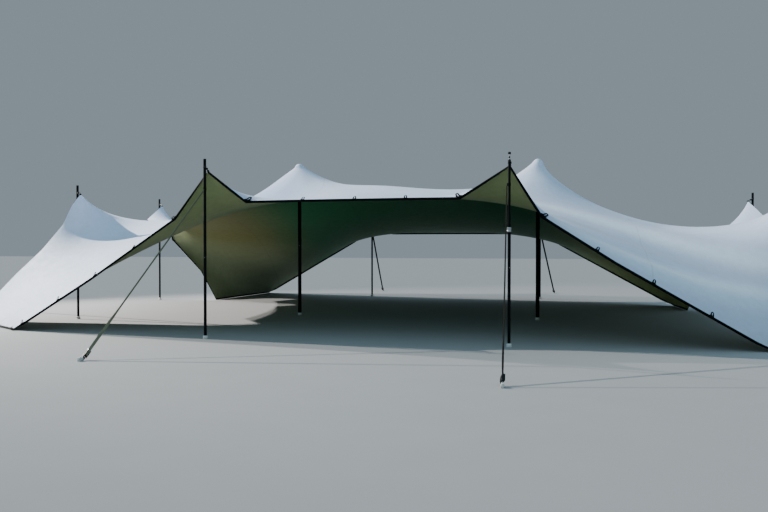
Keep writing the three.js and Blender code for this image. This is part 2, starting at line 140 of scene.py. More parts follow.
BACK_EDGE = (
    (0, (-3.72, 8.4, GROUND_EDGE)),
    (6, (-3.5, 11.8, GROUND_EDGE)),
    (14, (-0.5, 10.9, 1.6)),
    (15, (0.01, 10.8, BACK_TIP)),
    (16, (0.66, 10.75, 1.82), FREE),
    (21, (4.2, 10.75, 1.82)),
    (22, (4.8, 10.8, BACK_TIP)),
    (23, (5.35, 10.75, 1.52)),
    (30, (8.15, 9.0, GROUND_EDGE)),
    (34, (8.3, 7.6, GROUND_EDGE)),
)
PEAKS = {"inner_left": ((13, 9), (0.01, 4.5, PEAK)), "inner_right": ((22, 9), (5.08, 4.5, PEAK))}
# Along, deep, reach in cells, and lift at a coarse net, in metres.
LIFTS = (
    (12.3, 9, 1.2, 0.118),
    (14.3, 9, 1.2, -0.06),
    (16, 9, 1.5, 0.033),
    (20.8, 9, 1, -0.075),
    (23, 9, 1.2, 0.068),
    (8.5, 1, 1.8, -0.022),
    (2, 10, 2.5, -0.008),
    (1.2, 17, 1.2, -0.03),
    (30, 8, 3, -0.011),
    (31, 13.5, 1.8, 0.011),
    (32.3, 15.5, 1.2, -0.047),
)

# Soft folds: from and to in cells, half the width in cells, and the height in metres.
FOLDS = (
    ((24.4, 0.7), (32.0, 1.6), 0.42, 0.046),
    ((24.0, 3.4), (32.5, 2.4), 0.5, -0.046),
    ((23.4, 5.8), (34.0, 3.3), 0.6, 0.056),
    ((25.0, 7.5), (34.0, 4.9), 0.5, -0.036),
    ((27.0, 8.2), (34.0, 6.0), 0.5, 0.036),
    ((26.0, 2.0), (31.0, 0.5), 0.3, -0.012),
    ((2.0, 5.6), (8.5, 3.0), 0.5, 0.007),
    ((1.5, 3.6), (7.0, 1.2), 0.5, -0.006),
    ((14.5, 8.4), (19.0, 5.0), 0.5, 0.008),
    ((14.5, 7.6), (17.5, 3.5), 0.45, -0.007),
    ((5.0, 10.0), (2.0, 15.0), 0.6, 0.01),
    ((14.0, 11.0), (15.0, 19.0), 0.5, 0.009),
    ((23.0, 11.0), (27.0, 18.0), 0.5, 0.009),
)

# Edge pole: the node of the net that it holds up, and the turn of its strap at the pole and at the stake.
EDGE_POLES = {
    "front_left": ((12, 0), 1.22, 1.83),
    "front_right": ((22, 0), 1.15, 1.2),
    "side_left_front": ((0, 6), 0.0, 0.3),
    "side_left_back": ((0, 16), 0.2, 0.0),
    "side_right_front": ((34, 6), 0.0, 0.2),
    "side_right_back": ((34, 16), 0.3, 0.0),
    "back_left": ((15, 21), 0.1, 0.4),
    "back_right": ((22, 21), 0.0, 0.3),
}
TELESCOPIC = "front_right"
# The run of this strap from its pole carries the lighter webbing with painted sheen.
SHEEN_GREY_STRAP = "front_left"
FIRST_POLE_AT = (-0.03, -0.12)

CAMERA_AT = (6.01, -12.96, 1.6)
CAMERA_TURN = 13.3
CAMERA_DOWN = 1.01
CAMERA_LENS = 39.84
SENSOR = 36.0

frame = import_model()


def middle(name):
    low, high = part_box(name)
    return (Vector(low) + Vector(high)) / 2


FOOT_AT = middle("front_left_pole_foot")
SHIFT = np.array([FOOT_AT.x - FIRST_POLE_AT[0], FOOT_AT.y - FIRST_POLE_AT[1], 0.0])


# The net of the cloth.


def held_nodes(fine):
    """The places that the edges and the peaks hold, and which nodes they are."""
    places = np.zeros((CELLS_DEEP * fine + 1, CELLS_ALONG * fine + 1, 3))
    held = np.zeros(places.shape[:2], bool)

    def hold(node, place):
        places[node] = place
        held[node] = True

    def hold_edge(stations, node_of):
        for station, following in zip(stations, stations[1:] + (None,)):
            cell, at = station[:2]
            hold(node_of(cell * fine), at)
            if following is None or FREE in station:
                continue
            first, last = cell * fine, following[0] * fine
            for step in range(first + 1, last):
                share = (step - first) / (last - first)
                hold(node_of(step), np.array(at) * (1 - share) + np.array(following[1]) * share)

    hold_edge(FRONT_EDGE, lambda step: (0, step))
    hold_edge(BACK_EDGE, lambda step: (CELLS_DEEP * fine, step))
    hold_edge(LEFT_EDGE, lambda step: (step, 0))
    hold_edge(RIGHT_EDGE, lambda step: (step, CELLS_ALONG * fine))
    reach = HEAD_CELLS * fine
    steps = range(-int(reach), int(reach) + 1)
    for (along, deep), at in PEAKS.values():
        for i, j in itertools.product(steps, steps):
            out = np.array((i, j)) / reach
            far = float(np.hypot(*out))
            if far <= 1:
                over = np.array((*(out * HEAD_RADIUS), -HEAD_DROP * far**3))
                hold((deep * fine + j, along * fine + i), over + at)
    return places, held


def lift_of(fine):
    """How far each node settles above the mean of its neighbours."""
    deep, along = np.mgrid[0 : CELLS_DEEP * fine + 1, 0 : CELLS_ALONG * fine + 1] / fine
    lift = np.zeros(along.shape)
    for at_along, at_deep, reach, height in LIFTS:
        far = np.hypot(along - at_along, deep - at_deep) / reach
        lift += height * np.exp(-far * far)
    return lift / fine**2


def settled(fine, start, steps, rate):
    """Each free node settles at the weighted mean of its neighbours, plus its lift."""
    places, held = held_nodes(fine)
    net = np.where(held[..., None], places, start)
    rows, columns = held.shape
    along = np.full((rows, columns), PULL_ALONG)
    deep = np.full((rows, columns), PULL_DEEP)
    along[[0, -1], :] = PULL_EDGE * fine
    deep[:, [0, -1]] = PULL_EDGE * fine
    west, east, south, north = along.copy(), along.copy(), deep.copy(), deep.copy()
    west[:, 0] = 0
    east[:, -1] = 0
    south[0] = 0
    north[-1] = 0
    total = west + east + south + north
    lift = lift_of(fine)
    chequer = np.add.outer(np.arange(rows), np.arange(columns)) % 2
    for _ in range(steps):
        for colour in (0, 1):
            mean = west[..., None] * np.roll(net, 1, 1) + east[..., None] * np.roll(net, -1, 1)
            mean += south[..., None] * np.roll(net, 1, 0) + north[..., None] * np.roll(net, -1, 0)
            mean /= total[..., None]
            mean[..., 2] += lift
            moves = (chequer == colour) & ~held
            net[moves] += rate * (mean - net)[moves]
    return net


def refined(net, times):
    """The net with each cell split into times by times, by straight lines."""

    def along_axis(field, axis):
        count = field.shape[axis]
        at = np.linspace(0, count - 1, (count - 1) * times + 1)
        low = np.minimum(at.astype(int), count - 2)
        share = (at - low).reshape([-1 if k == axis else 1 for k in range(3)])
        return np.take(field, low, axis) * (1 - share) + np.take(field, low + 1, axis) * share

    return along_axis(along_axis(net, 0), 1)


def stretched_net():
    deep, along = np.mgrid[0 : CELLS_DEEP + 1, 0 : CELLS_ALONG + 1]
    start = np.stack([along * 0.46 - 5, deep * 0.5, np.full(along.shape, 2.0)], -1)
    coarse = settled(1, start, 400, 1.7)
    double = settled(2, refined(coarse, 2), 200, 1.85)
    return settled(FINE, refined(double, FINE // 2), 420, RELAX_RATE) + SHIFT


def normals_of(net):
    normal = np.cross(np.gradient(net, axis=1), np.gradient(net, axis=0))
    return normal / np.linalg.norm(normal, axis=-1, keepdims=True)


def ray(node, turn, first, last, half, high):
    """A fold that leaves a node of the net in one direction, from one distance to another."""
    way = (math.cos(turn), math.sin(turn))
    ends = [(node[0] + far * way[0], node[1] + far * way[1]) for far in (first, last)]
    return (*ends, half, high)


def creases():
    """The folds that spread from the peaks and from the tips of the edge."""
    random = np.random.default_rng(7)
    found = []
    for node, _ in PEAKS.values():
        for k in range(9):
            turn = 2 * math.pi * (k + random.uniform(-0.3, 0.3)) / 9
            reach, high = random.uniform(1.8, 3.4), random.uniform(0.004, 0.008)
            found.append(ray(node, turn, 0.3, reach, 0.22, high))
    for node, _, _ in EDGE_POLES.values():
        inward = math.atan2(CELLS_DEEP / 2 - node[1], CELLS_ALONG / 2 - node[0])
        for k in range(3):
            turn = inward + 0.55 * (k - 1) + random.uniform(-0.15, 0.15)
            reach, high = random.uniform(1.6, 2.6), random.uniform(0.003, 0.006)
            found.append(ray(node, turn, 0.2, reach, 0.2, high))
    return found


def folded(net):
    """The net with soft folds raised out of its face."""
    deep, along = np.mgrid[0 : net.shape[0], 0 : net.shape[1]] / FINE
    rise = np.zeros(along.shape)
    for first, last, half, high in (*FOLDS, *creases()):
        way = np.subtract(last, first)
        length = float(np.hypot(*way))
        share = ((along - first[0]) * way[0] + (deep - first[1]) * way[1]) / length**2
        off = ((along - first[0]) * way[1] - (deep - first[1]) * way[0]) / length
        fade = np.sin(math.pi * np.clip(share, 0, 1)) ** 1.5
        rise += high * fade * np.exp(-((off / half) ** 2))
    return net + normals_of(net) * rise[..., None]


NET = folded(stretched_net())
NORMALS = normals_of(NET)


def sampled(field, along, deep):
    """The value of a field of the fine net at places given in cells."""
    a = np.clip(np.asarray(along, float) * FINE, 0, CELLS_ALONG * FINE)
    d = np.clip(np.asarray(deep, float) * FINE, 0, CELLS_DEEP * FINE)
    a, d = np.broadcast_arrays(a, d)
    a0 = np.minimum(a.astype(int), CELLS_ALONG * FINE - 1)
    d0 = np.minimum(d.astype(int), CELLS_DEEP * FINE - 1)
    sa = (a - a0)[..., None]
    sd = (d - d0)[..., None]
    near = field[d0, a0] * (1 - sa) + field[d0, a0 + 1] * sa
    far = field[d0 + 1, a0] * (1 - sa) + field[d0 + 1, a0 + 1] * sa
    return near * (1 - sd) + far * sd


def cloth_at(along, deep, above=0.0):
    """Places on the middle of the cloth, or that many metres out of its face."""
    point = sampled(NET, along, deep)
    normal = sampled(NORMALS, along, deep)
    normal = normal / np.linalg.norm(normal, axis=-1, keepdims=True)
    return point + normal * np.asarray(above)[..., None]


# Making meshes.


SHARP_ANGLE = math.radians(38)


def linked(name, data):
    """A new object in the scene."""
    made = bpy.data.objects.new(name, data)
    bpy.context.scene.collection.objects.link(made)
    return made


class Shape:
    """Meshes gathered into one piece, each with its material slot and map coordinates."""

    def __init__(self):
        self.points = []
        self.faces = []
        self.slots = []
        self.maps = []

    def put(self, made, slot=0, origin=(0, 0, 0), axes=None):
        """Adds points and faces, with the map of the points where there is one, moved to a place."""
        points, faces, *maps = made
        first = len(self.points)
        self.points.extend([tuple(map(float, point)) for point in placed(points, origin, axes)])
        self.faces.extend([tuple(first + int(k) for k in face) for face in faces])
        self.slots.extend([slot] * len(faces))
        self.maps.extend(maps[0] if maps else [(0.0, 0.0)] * len(points))

    def piece(self, name, materials, slot_name, soft=0.0, replaces=()):
        """Makes the piece, with its sharp edges softened by that width where it is given."""
        mesh = bpy.data.meshes.new(name)
        mesh.from_pydata(self.points, [], self.faces)
        for material in materials:
            mesh.materials.append(material)
        mesh.polygons.foreach_set("material_index", self.slots)
        layer = mesh.uv_layers.new(name="UVMap")
        corners = np.empty(len(mesh.loops), int)
        mesh.loops.foreach_get("vertex_index", corners)
        layer.data.foreach_set("uv", np.array(self.maps, float)[corners].ravel())
        mesh.shade_smooth()
        mesh.set_sharp_from_angle(angle=SHARP_ANGLE)
        whole = bmesh.new()
        whole.from_mesh(mesh)
        bmesh.ops.recalc_face_normals(whole, faces=whole.faces)
        whole.to_mesh(mesh)
        whole.free()
        piece = linked(name, mesh)
        if soft:
            bevel = piece.modifiers.new("soft_edges", "BEVEL")
            bevel.width = soft
            bevel.segments = 2
            bevel.limit_method = "ANGLE"
            bevel.angle_limit = SHARP_ANGLE
            bevel.harden_normals = True
        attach(piece, BODY)
        if replaces:
            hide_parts(*replaces)
        return piece


def unit(vector):
    vector = np.asarray(vector, float)
    return vector / np.linalg.norm(vector)


def placed(points, origin, axes):
    points = np.asarray(points, float)
    return (points if axes is None else points @ np.asarray(axes)) + np.asarray(origin)


def turned(profile, sides):
    """A solid of revolution about Z from (radius, height) pairs. Its first and last radius are 0."""
    points = []
    maps = []
    rings = []
    for radius, height in profile:
        first = len(points)
        count = sides if radius > 0 else 1
        for k in range(count):
            angle = 2 * math.pi * k / sides
            points.append((radius * math.cos(angle), radius * math.sin(angle), height))
            maps.append((k / sides, height))
        rings.append([first + k % count for k in range(sides)])
    faces = []
    for low, high in zip(rings, rings[1:]):
        for k in range(sides):
            following = (k + 1) % sides
            face = list(dict.fromkeys([low[k], low[following], high[following], high[k]]))
            if len(face) > 2:
                faces.append(face)
    return points, faces, maps


def ring_turned(profile, sides):
    """A closed ring of revolution about Z from a closed loop of (radius, height) pairs."""
    count = len(profile)
    points = []
    for k in range(sides):
        angle = 2 * math.pi * k / sides
        points += [(r * math.cos(angle), r * math.sin(angle), z) for r, z in profile]
    faces = []
    for k in range(sides):
        following = (k + 1) % sides
        for j in range(count):
            j2 = (j + 1) % count
            faces.append((k * count + j, following * count + j, following * count + j2, k * count + j2))
    return points, faces


def ringed(rings, maps, closed=False):
    """The skin over a row of closed rings of points, with flat ends unless the row is closed."""
    total, count = rings.shape[:2]
    faces = []
    for k in range(total if closed else total - 1):
        a, b = k * count, ((k + 1) % total) * count
        for j in range(count):
            j2 = (j + 1) % count
            faces.append((a + j, a + j2, b + j2, b + j))
    if not closed:
        faces.append(tuple(reversed(range(count))))
        faces.append(tuple((total - 1) * count + j for j in range(count)))
    return rings.reshape(-1, 3), faces, maps


def lengths_along(path):
    steps = np.linalg.norm(np.diff(np.asarray(path, float), axis=0), axis=1)
    return np.concatenate([[0], np.cumsum(steps)])


def swept(path, sides, ups, section, closed=False):
    """A section of (side, up) pairs, drawn along a path with the side and up of each point."""
    path, sides, ups = (np.asarray(x, float) for x in (path, sides, ups))
    section = np.asarray(section, float)
    across = section[:, 0][None, :, None] * sides[:, None, :]
    rings = path[:, None, :] + across + section[:, 1][None, :, None] * ups[:, None, :]
    maps = [(length, s) for length in lengths_along(path) for s, _ in section]
    return ringed(rings, maps, closed)


def carried_frames(path, first_up, closed=False):
    """Side and up vectors along a path, turned as little as possible from point to point."""
    path = np.asarray(path, float)
    if closed:
        tangents = np.roll(path, -1, 0) - np.roll(path, 1, 0)
    else:
        tangents = np.gradient(path, axis=0)
    up = np.asarray(first_up, float)
    sides = []
    ups = []
    for tangent in tangents:
        tangent = unit(tangent)
        side = unit(np.cross(tangent, up))
        up = np.cross(side, tangent)
        sides.append(side)
        ups.append(up)
    return sides, ups


BAND_CORNER = 0.9


def rounded(half_wide, half_high, corner, steps=2):
    """A closed section like a rectangle with rounded corners."""
    radius = min(half_wide, half_high) * corner
    section = []
    for k, (sx, sy) in enumerate(((1, 1), (-1, 1), (-1, -1), (1, -1))):
        for step in range(steps + 1):
            angle = math.pi / 2 * (k + step / steps)
            x = sx * (half_wide - radius) + radius * math.cos(angle)
            y = sy * (half_high - radius) + radius * math.sin(angle)
            section.append((x, y))
    return section


def circle(radius, sides):
    steps = [2 * math.pi * k / sides for k in range(sides)]
    return [(radius * math.cos(a), radius * math.sin(a)) for a in steps]


def tube(path, radius, first_up, sides=12, closed=False):
    return swept(path, *carried_frames(path, first_up, closed), circle(radius, sides), closed)


def strap(path, first_up, wide, thick):
    return swept(path, *carried_frames(path, first_up), rounded(wide / 2, thick / 2, BAND_CORNER))


def plate(outline, thick):
    """A flat plate from an outline in X and Y, thick along Z."""
    count = len(outline)
    points = [(x, y, z) for z in (-thick / 2, thick / 2) for x, y in outline]
    faces = [tuple(reversed(range(count))), tuple(range(count, 2 * count))]
    faces += [(j, (j + 1) % count, count + (j + 1) % count, count + j) for j in range(count)]
    return points, faces


def block(size, corner):
    """A box of a size about the origin, with its upright edges rounded."""
    return plate(rounded(size[0] / 2, size[1] / 2, corner, 3), size[2])


# Materials.


def give(tree, made, inputs):
    """Sets the inputs of a node, or links them where they come from another node."""
    for key, value in inputs.items():
        if isinstance(value, bpy.types.NodeSocket):
            tree.links.new(value, made.inputs[key])
        else:
            made.inputs[key].default_value = value


def node(tree, kind, inputs, **settings):
    made = tree.nodes.new(kind)
    for key, value in settings.items():
        setattr(made, key, value)
    give(tree, made, inputs)
    return made


def split(tree, vector):
    return node(tree, "ShaderNodeSeparateXYZ", {0: vector}).outputs


def maths(tree, operation, first, second=0.0, third=0.0):
    made = node(tree, "ShaderNodeMath", {0: first, 1: second, 2: third}, operation=operation)
    return made.outputs[0]


def noise(tree, place, scale, detail=3.0, roughness=0.55):
    inputs = {"Vector": place, "Scale": scale, "Detail": detail, "Roughness": roughness}
    return node(tree, "ShaderNodeTexNoise", inputs).outputs["Fac"]


def ramped(tree, value, low, high, to_low=0.0, to_high=1.0):
    inputs = {"Value": value, "From Min": low, "From Max": high, "To Min": to_low, "To Max": to_high}
    return node(tree, "ShaderNodeMapRange", inputs).outputs["Result"]


def mixed(tree, share, first, second):
    """A mix of two colours. Sockets 6 and 7 of the node take them, and its output 2 gives the mix."""
    inputs = {"Factor": share, 6: first, 7: second}
    return node(tree, "ShaderNodeMix", inputs, data_type="RGBA").outputs[2]


def tinted(tree, tone, colour, share, strength):
    """A tone that turns to a colour, as far as a share times a strength says."""
    return mixed(tree, maths(tree, "MULTIPLY", share, strength), tone, colour)


def waves(tree, flat, direction, scale, distortion, detail):
    inputs = {"Vector": flat, "Scale": scale, "Distortion": distortion, "Detail": detail}
    return node(tree, "ShaderNodeTexWave", inputs, bands_direction=direction).outputs["Fac"]


def bumped(tree, height, strength, distance, before=None):
    inputs = {"Height": height, "Strength": strength, "Distance": distance}
    if before is not None:
        inputs["Normal"] = before
    return node(tree, "ShaderNodeBump", inputs).outputs["Normal"]


def new_material(name):
    """A material, its node tree and shader, and its places on the piece and on the piece's map."""
    material = bpy.data.materials.new(name)
    material.use_nodes = True
    tree = material.node_tree
    place = node(tree, "ShaderNodeTexCoord", {}).outputs
    return material, tree, tree.nodes["Principled BSDF"], place["Object"], place["UV"]


def linear(red, green, blue):
    """A colour given as it looks on a screen, from 0 to 255."""

    def one(value):
        value = value / 255
        return value / 12.92 if value <= 0.04045 else ((value + 0.055) / 1.055) ** 2.4

    return (one(red), one(green), one(blue), 1.0)


def seam_mask(tree, along, half_wide):
    """1 on the seams between the panels of the cloth."""
    total = None
    for seam in PANEL_SEAMS:
        at = seam * CELL_WIDE
        line = maths(tree, "COMPARE", along, at, half_wide)
        total = line if total is None else maths(tree, "ADD", total, line)
    return total


def knit(tree, flat):
    """Fine ribs along the cloth with a finer twill across it."""
    rib = waves(tree, flat, "X", 58.0, 0.6, 1.0)
    twill = waves(tree, flat, "DIAGONAL", 110.0, 0.3, 1.0)
    return maths(tree, "MULTIPLY_ADD", twill, 0.5, rib)


def smooth_step(tree, value, low, high):
    """0 at the first level and 1 at the second, with a soft passage between them."""
    inputs = {"Value": value, "From Min": low, "From Max": high}
    return node(tree, "ShaderNodeMapRange", inputs, interpolation_type="SMOOTHSTEP").outputs["Result"]


def near_cell(tree, flat, cell, reach):
    """1 at a place of the cloth, falling softly to 0 at that reach. Both ways are in cell widths."""
    off = []
    for way in (0, 1):
        scale = 1 / (CELL_WIDE * reach[way])
        off.append(maths(tree, "MULTIPLY_ADD", flat[way], scale, -cell[way] / reach[way]))
    squared = maths(tree, "MULTIPLY", off[1], off[1])
    far = maths(tree, "SQRT", maths(tree, "MULTIPLY_ADD", off[0], off[0], squared))
    return smooth_step(tree, far, 1.0, 0.35)


def near_line(tree, flat, first, last, half_wide):
    """1 on a line of the cloth, falling softly to 0 at its sides and past its ends, in cell widths."""
    run = np.array(last) - np.array(first)
    length = float(np.linalg.norm(run))
    along_x, along_y = (run / length).tolist()
    x, y = (maths(tree, "MULTIPLY_ADD", flat[way], 1 / CELL_WIDE, -first[way]) for way in (0, 1))
    along = maths(tree, "ADD", maths(tree, "MULTIPLY", x, along_x), maths(tree, "MULTIPLY", y, along_y))
    turned_x = maths(tree, "MULTIPLY", x, -along_y)
    across = maths(tree, "SUBTRACT", turned_x, maths(tree, "MULTIPLY", y, -along_x))
    from_middle = maths(tree, "ABSOLUTE", maths(tree, "SUBTRACT", along, length / 2))
    past_end = maths(tree, "MAXIMUM", maths(tree, "SUBTRACT", from_middle, length / 2), 0.0)
    far = maths(tree, "MULTIPLY_ADD", past_end, 0.4, maths(tree, "ABSOLUTE", across))
    return smooth_step(tree, far, half_wide, 0.0)


# Bands of painted light and painted shade on the right wing, for the lit and shaded sides of its folds:
# from and to, and half the width. All of it, depths too, is in cell widths, as are the places of the
# painted shade on the left slope of the first peak.
PAINTED_LIGHT_BANDS = (
    ((24.6, 0.8), (30.4, 1.7), 1.0),
    ((23.8, 5.8), (27.6, 4.6), 1.1),
    ((27.6, 4.6), (33.0, 2.7), 1.2),
)
PAINTED_SHADE_BANDS = (((24.0, 3.4), (31.5, 2.5), 0.9), ((29.0, 0.1), (33.0, 0.6), 1.1))
BAND_STRENGTH = 0.75
# Painted shade of a tree on the left slope of the first peak: its middle and reach in cells, and its
# strength.
SLOPE_AT = (11.2, 6.2)
SLOPE_REACH = (3.4, 5.0)
SLOPE_SHADE_STRENGTH = 0.8
OUTSIDE_PALE = linear(208, 219, 240)
OUTSIDE_SOFT = linear(194, 206, 230)
# Painted shade on the left slope of the first peak.
OUTSIDE_SLOPE_SHADE = linear(160, 180, 214)
# Painted light and painted shade for the bands on the right wing.
OUTSIDE_BAND_LIGHT = linear(230, 242, 255)
OUTSIDE_BAND_SHADE = linear(184, 196, 214)
# Inside, the dark green is painted shade, the olive a painted glow of light through the cloth, and the
# paler tones painted light.
INSIDE_SHADE_GREEN = linear(20, 112, 72)
INSIDE_GLOW_OLIVE = linear(104, 106, 60)
INSIDE_BEHIND_LIGHT = linear(156, 172, 140)
INSIDE_RIGHT_LIGHT = linear(176, 188, 122)
INSIDE_TIP_LIGHT = linear(158, 172, 120)
INSIDE_WORN = linear(74, 78, 52)
# Where the painted light and painted shade of the inside change: along it in cells, and deep and beside
# the tips in metres.
GREEN_FROM_LEFT = (11.5, 6.5)
GREEN_TO_RIGHT = (22.5, 27.5)
BEHIND_DEEP = (7.4, 10.0)
TIP_DEEP = (1.9, 0.9)
TIP_ASIDE = (2.1, 0.9)


def outside_tone_light_shade(tree, flat, broad):
    """Pale lavender, deeper in broad patches, with painted shade on the left slope of the first peak and
    soft bands of painted light and painted shade.
    """
    tone = mixed(tree, ramped(tree, broad, 0.35, 0.68), OUTSIDE_PALE, OUTSIDE_SOFT)
    # Painted shade on the left slope of the first peak.
    slope = near_cell(tree, flat, SLOPE_AT, SLOPE_REACH)
    tone = tinted(tree, tone, OUTSIDE_SLOPE_SHADE, slope, SLOPE_SHADE_STRENGTH)
    # Bands of painted light and painted shade over the folds of the right wing.
    for bands, colour in ((PAINTED_LIGHT_BANDS, OUTSIDE_BAND_LIGHT), (PAINTED_SHADE_BANDS, OUTSIDE_BAND_SHADE)):
        for first, last, half_wide in bands:
            share = near_line(tree, flat, first, last, half_wide)
            tone = tinted(tree, tone, colour, share, BAND_STRENGTH)
    return tone


def inside_tone_light_shade(tree, flat, broad):
    """Dark green in the middle as painted shade, with painted light: an olive glow at the left, and pale
    behind and at the right and front tips.
    """
    along, deep = flat["X"], flat["Y"]
    left = smooth_step(tree, along, *(cell * CELL_WIDE for cell in GREEN_FROM_LEFT))
    right = smooth_step(tree, along, *(cell * CELL_WIDE for cell in GREEN_TO_RIGHT))
    # Painted shade in the middle, painted light through the cloth at the left, behind, at the right and
    # at the tips.
    tone = mixed(tree, left, INSIDE_SHADE_GREEN, INSIDE_GLOW_OLIVE)
    tone = tinted(tree, tone, INSIDE_BEHIND_LIGHT, left, smooth_step(tree, deep, *BEHIND_DEEP))
    tone = mixed(tree, right, tone, INSIDE_RIGHT_LIGHT)
    tips = None
    for station in (FRONT_EDGE[4], FRONT_EDGE[7]):
        far = maths(tree, "ABSOLUTE", maths(tree, "SUBTRACT", along, station[0] * CELL_WIDE))
        tip = smooth_step(tree, far, *TIP_ASIDE)
        tips = tip if tips is None else maths(tree, "MAXIMUM", tips, tip)
    tone = tinted(tree, tone, INSIDE_TIP_LIGHT, smooth_step(tree, deep, *TIP_DEEP), tips)
    return mixed(tree, ramped(tree, broad, 0.35, 0.7, 0.0, 0.25), tone, INSIDE_WORN)


SEAM_HALF = 0.011
STITCH_HALF = 0.0016


def cloth_material(name, tone_of, stain, roughness, sheen):
    """Knitted cloth with seams, fine mottling and a soiled foot. Its map is the flat sheet, in metres."""
    material, tree, shader, solid, flat = new_material(name)
    flat_parts = split(tree, flat)
    fine = noise(tree, solid, 9.0, 6.0, 0.65)
    tone = tone_of(tree, flat_parts, noise(tree, solid, 0.45, 4.0))
    mottled = mixed(tree, ramped(tree, fine, 0.42, 0.8, 0.0, 0.16), tone, stain)
    low = ramped(tree, split(tree, solid)["Z"], 0.3, 0.01)
    soiled = tinted(tree, mottled, stain, low, ramped(tree, fine, 0.3, 0.7, 0.15, 0.5))
    seam = seam_mask(tree, flat_parts["X"], SEAM_HALF)
    shown = tinted(tree, soiled, stain, seam, 0.1)
    lined = tinted(tree, shown, stain, seam_mask(tree, flat_parts["X"], STITCH_HALF), 0.35)
    woven = bumped(tree, knit(tree, flat), 0.22, 0.0006)
    seamed = bumped(tree, seam, 0.6, 0.0012, woven)
    give(tree, shader, {
        "Base Color": lined,
        "Roughness": ramped(tree, fine, 0.3, 0.75, roughness - 0.07, roughness + 0.08),
        "Normal": bumped(tree, noise(tree, solid, 3.2, 2.0), 0.12, 0.02, seamed),
        "Sheen Weight": sheen,
        "Sheen Roughness": 0.4,
        "Specular IOR Level": 0.3,
    })
    return material


HEM_WIDE = 0.036
STRAP_WIDE = 0.045
THREAD_INSET = 0.005
THREAD_HALF = 0.0009
STITCH_LONG = 0.0035
STITCH_SHOWS = 0.0012


def webbing_material(name, tone, thread, wide):
    """Woven webbing. The map runs along its length and across its width, in metres."""
    material, tree, shader, solid, flat = new_material(name)
    length, across, _ = split(tree, flat)
    rib = waves(tree, flat, "X", 95.0, 0.4, 1.0)
    yarn = waves(tree, flat, "Y", 140.0, 0.2, 0.0)
    worn = noise(tree, solid, 14.0, 6.0, 0.7)
    tint = mixed(tree, ramped(tree, worn, 0.45, 0.85, 0.0, 0.7), tone, thread)
    row = maths(tree, "COMPARE", maths(tree, "ABSOLUTE", across), wide / 2 - THREAD_INSET, THREAD_HALF)
    dash = maths(tree, "GREATER_THAN", maths(tree, "PINGPONG", length, STITCH_LONG), STITCH_SHOWS)
    sewn = maths(tree, "MULTIPLY", row, dash)
    ridged = bumped(tree, maths(tree, "MULTIPLY_ADD", yarn, 0.6, rib), 0.5, 0.0008)
    give(tree, shader, {
        "Base Color": tinted(tree, tint, thread, sewn, 0.8),
        "Roughness": ramped(tree, worn, 0.3, 0.8, 0.62, 0.9),
        "Normal": bumped(tree, sewn, 0.8, 0.0008, ridged),
        "Specular IOR Level": 0.04,
    })
    return material


def coated_material(name, tone, worn_tone, roughness, metallic=0.0):
    """Paint or plating with a fine skin, scratches and worn patches."""
    material, tree, shader, solid, _ = new_material(name)
    stretch = node(tree, "ShaderNodeMapping", {"Vector": solid, "Scale": (26.0, 26.0, 2.4)})
    streak = noise(tree, stretch.outputs[0], 3.0, 5.0, 0.7)
    blotch = noise(tree, solid, 7.0, 5.0, 0.65)
    blotched = mixed(tree, ramped(tree, blotch, 0.35, 0.75, 0.0, 0.2), tone, worn_tone)
    worn = (ramped(tree, streak, 0.62, 0.78), ramped(tree, blotch, 0.4, 0.7))
    skin = bumped(tree, noise(tree, solid, 240.0, 2.0), 0.12, 0.0004)
    give(tree, shader, {
        "Base Color": tinted(tree, blotched, worn_tone, *worn),
        "Roughness": ramped(tree, blotch, 0.3, 0.7, roughness - 0.06, roughness + 0.1),
        "Normal": bumped(tree, streak, 0.1, 0.0006, skin),
        "Metallic": metallic,
        "Specular IOR Level": 0.08,
    })
    return material


def plastic_material(name, tone, soil, roughness):
    """Moulded plastic, scuffed and soiled towards the ground."""
    material, tree, shader, solid, _ = new_material(name)
    scuff = noise(tree, solid, 60.0, 6.0, 0.7)
    low = ramped(tree, split(tree, solid)["Z"], 0.05, 0.0, 0.0, 0.75)
    soiled = maths(tree, "MULTIPLY", low, ramped(tree, scuff, 0.3, 0.65))
    marked = maths(tree, "MAXIMUM", soiled, ramped(tree, scuff, 0.62, 0.85, 0.0, 0.45))
    give(tree, shader, {
        "Base Color": mixed(tree, marked, tone, soil),
        "Roughness": ramped(tree, scuff, 0.3, 0.7, roughness, roughness + 0.2),
        "Normal": bumped(tree, scuff, 0.15, 0.0006),
    })
    return material


CLOTH_OUTSIDE = cloth_material("cloth_outside", outside_tone_light_shade, linear(150, 152, 148), 0.66, 0.08)
CLOTH_INSIDE = cloth_material("cloth_inside", inside_tone_light_shade, linear(44, 46, 34), 0.78, 0.04)
WEBBING = webbing_material("edge_webbing", linear(10, 12, 12), linear(34, 36, 36), HEM_WIDE)
STRAPPING = webbing_material("strap_webbing", linear(6, 9, 8), linear(26, 30, 28), STRAP_WIDE)
# A lighter copy of the strap webbing for one strap: painted sheen of the sky on its face.
SHEEN_GREY_STRAPPING = webbing_material(
    "sheen_grey_webbing", linear(116, 122, 102), linear(130, 134, 116), STRAP_WIDE
)
POLE_PAINT = coated_material("pole_paint", linear(4, 9, 9), linear(28, 36, 34), 0.6)
STEEL = coated_material("plated_steel", linear(176, 179, 180), linear(120, 120, 116), 0.34, 1.0)
DARK_STEEL = coated_material("dark_steel", linear(30, 32, 33), linear(80, 80, 78), 0.45, 0.7)
RUBBER = plastic_material("rubber", linear(16, 17, 17), linear(52, 50, 46), 0.7)
WHITE_PLASTIC = plastic_material("white_plastic", linear(222, 224, 220), linear(122, 118, 100), 0.45)


# The canopy.


EDGE_INSET = 0.02


def grid_lines(cells):
    """Places across the cloth, in cells. The outermost stay just inside the hem."""
    inner = [k / FINE for k in range(1, cells * FINE)]
    return np.array([EDGE_INSET, *inner, cells - EDGE_INSET])


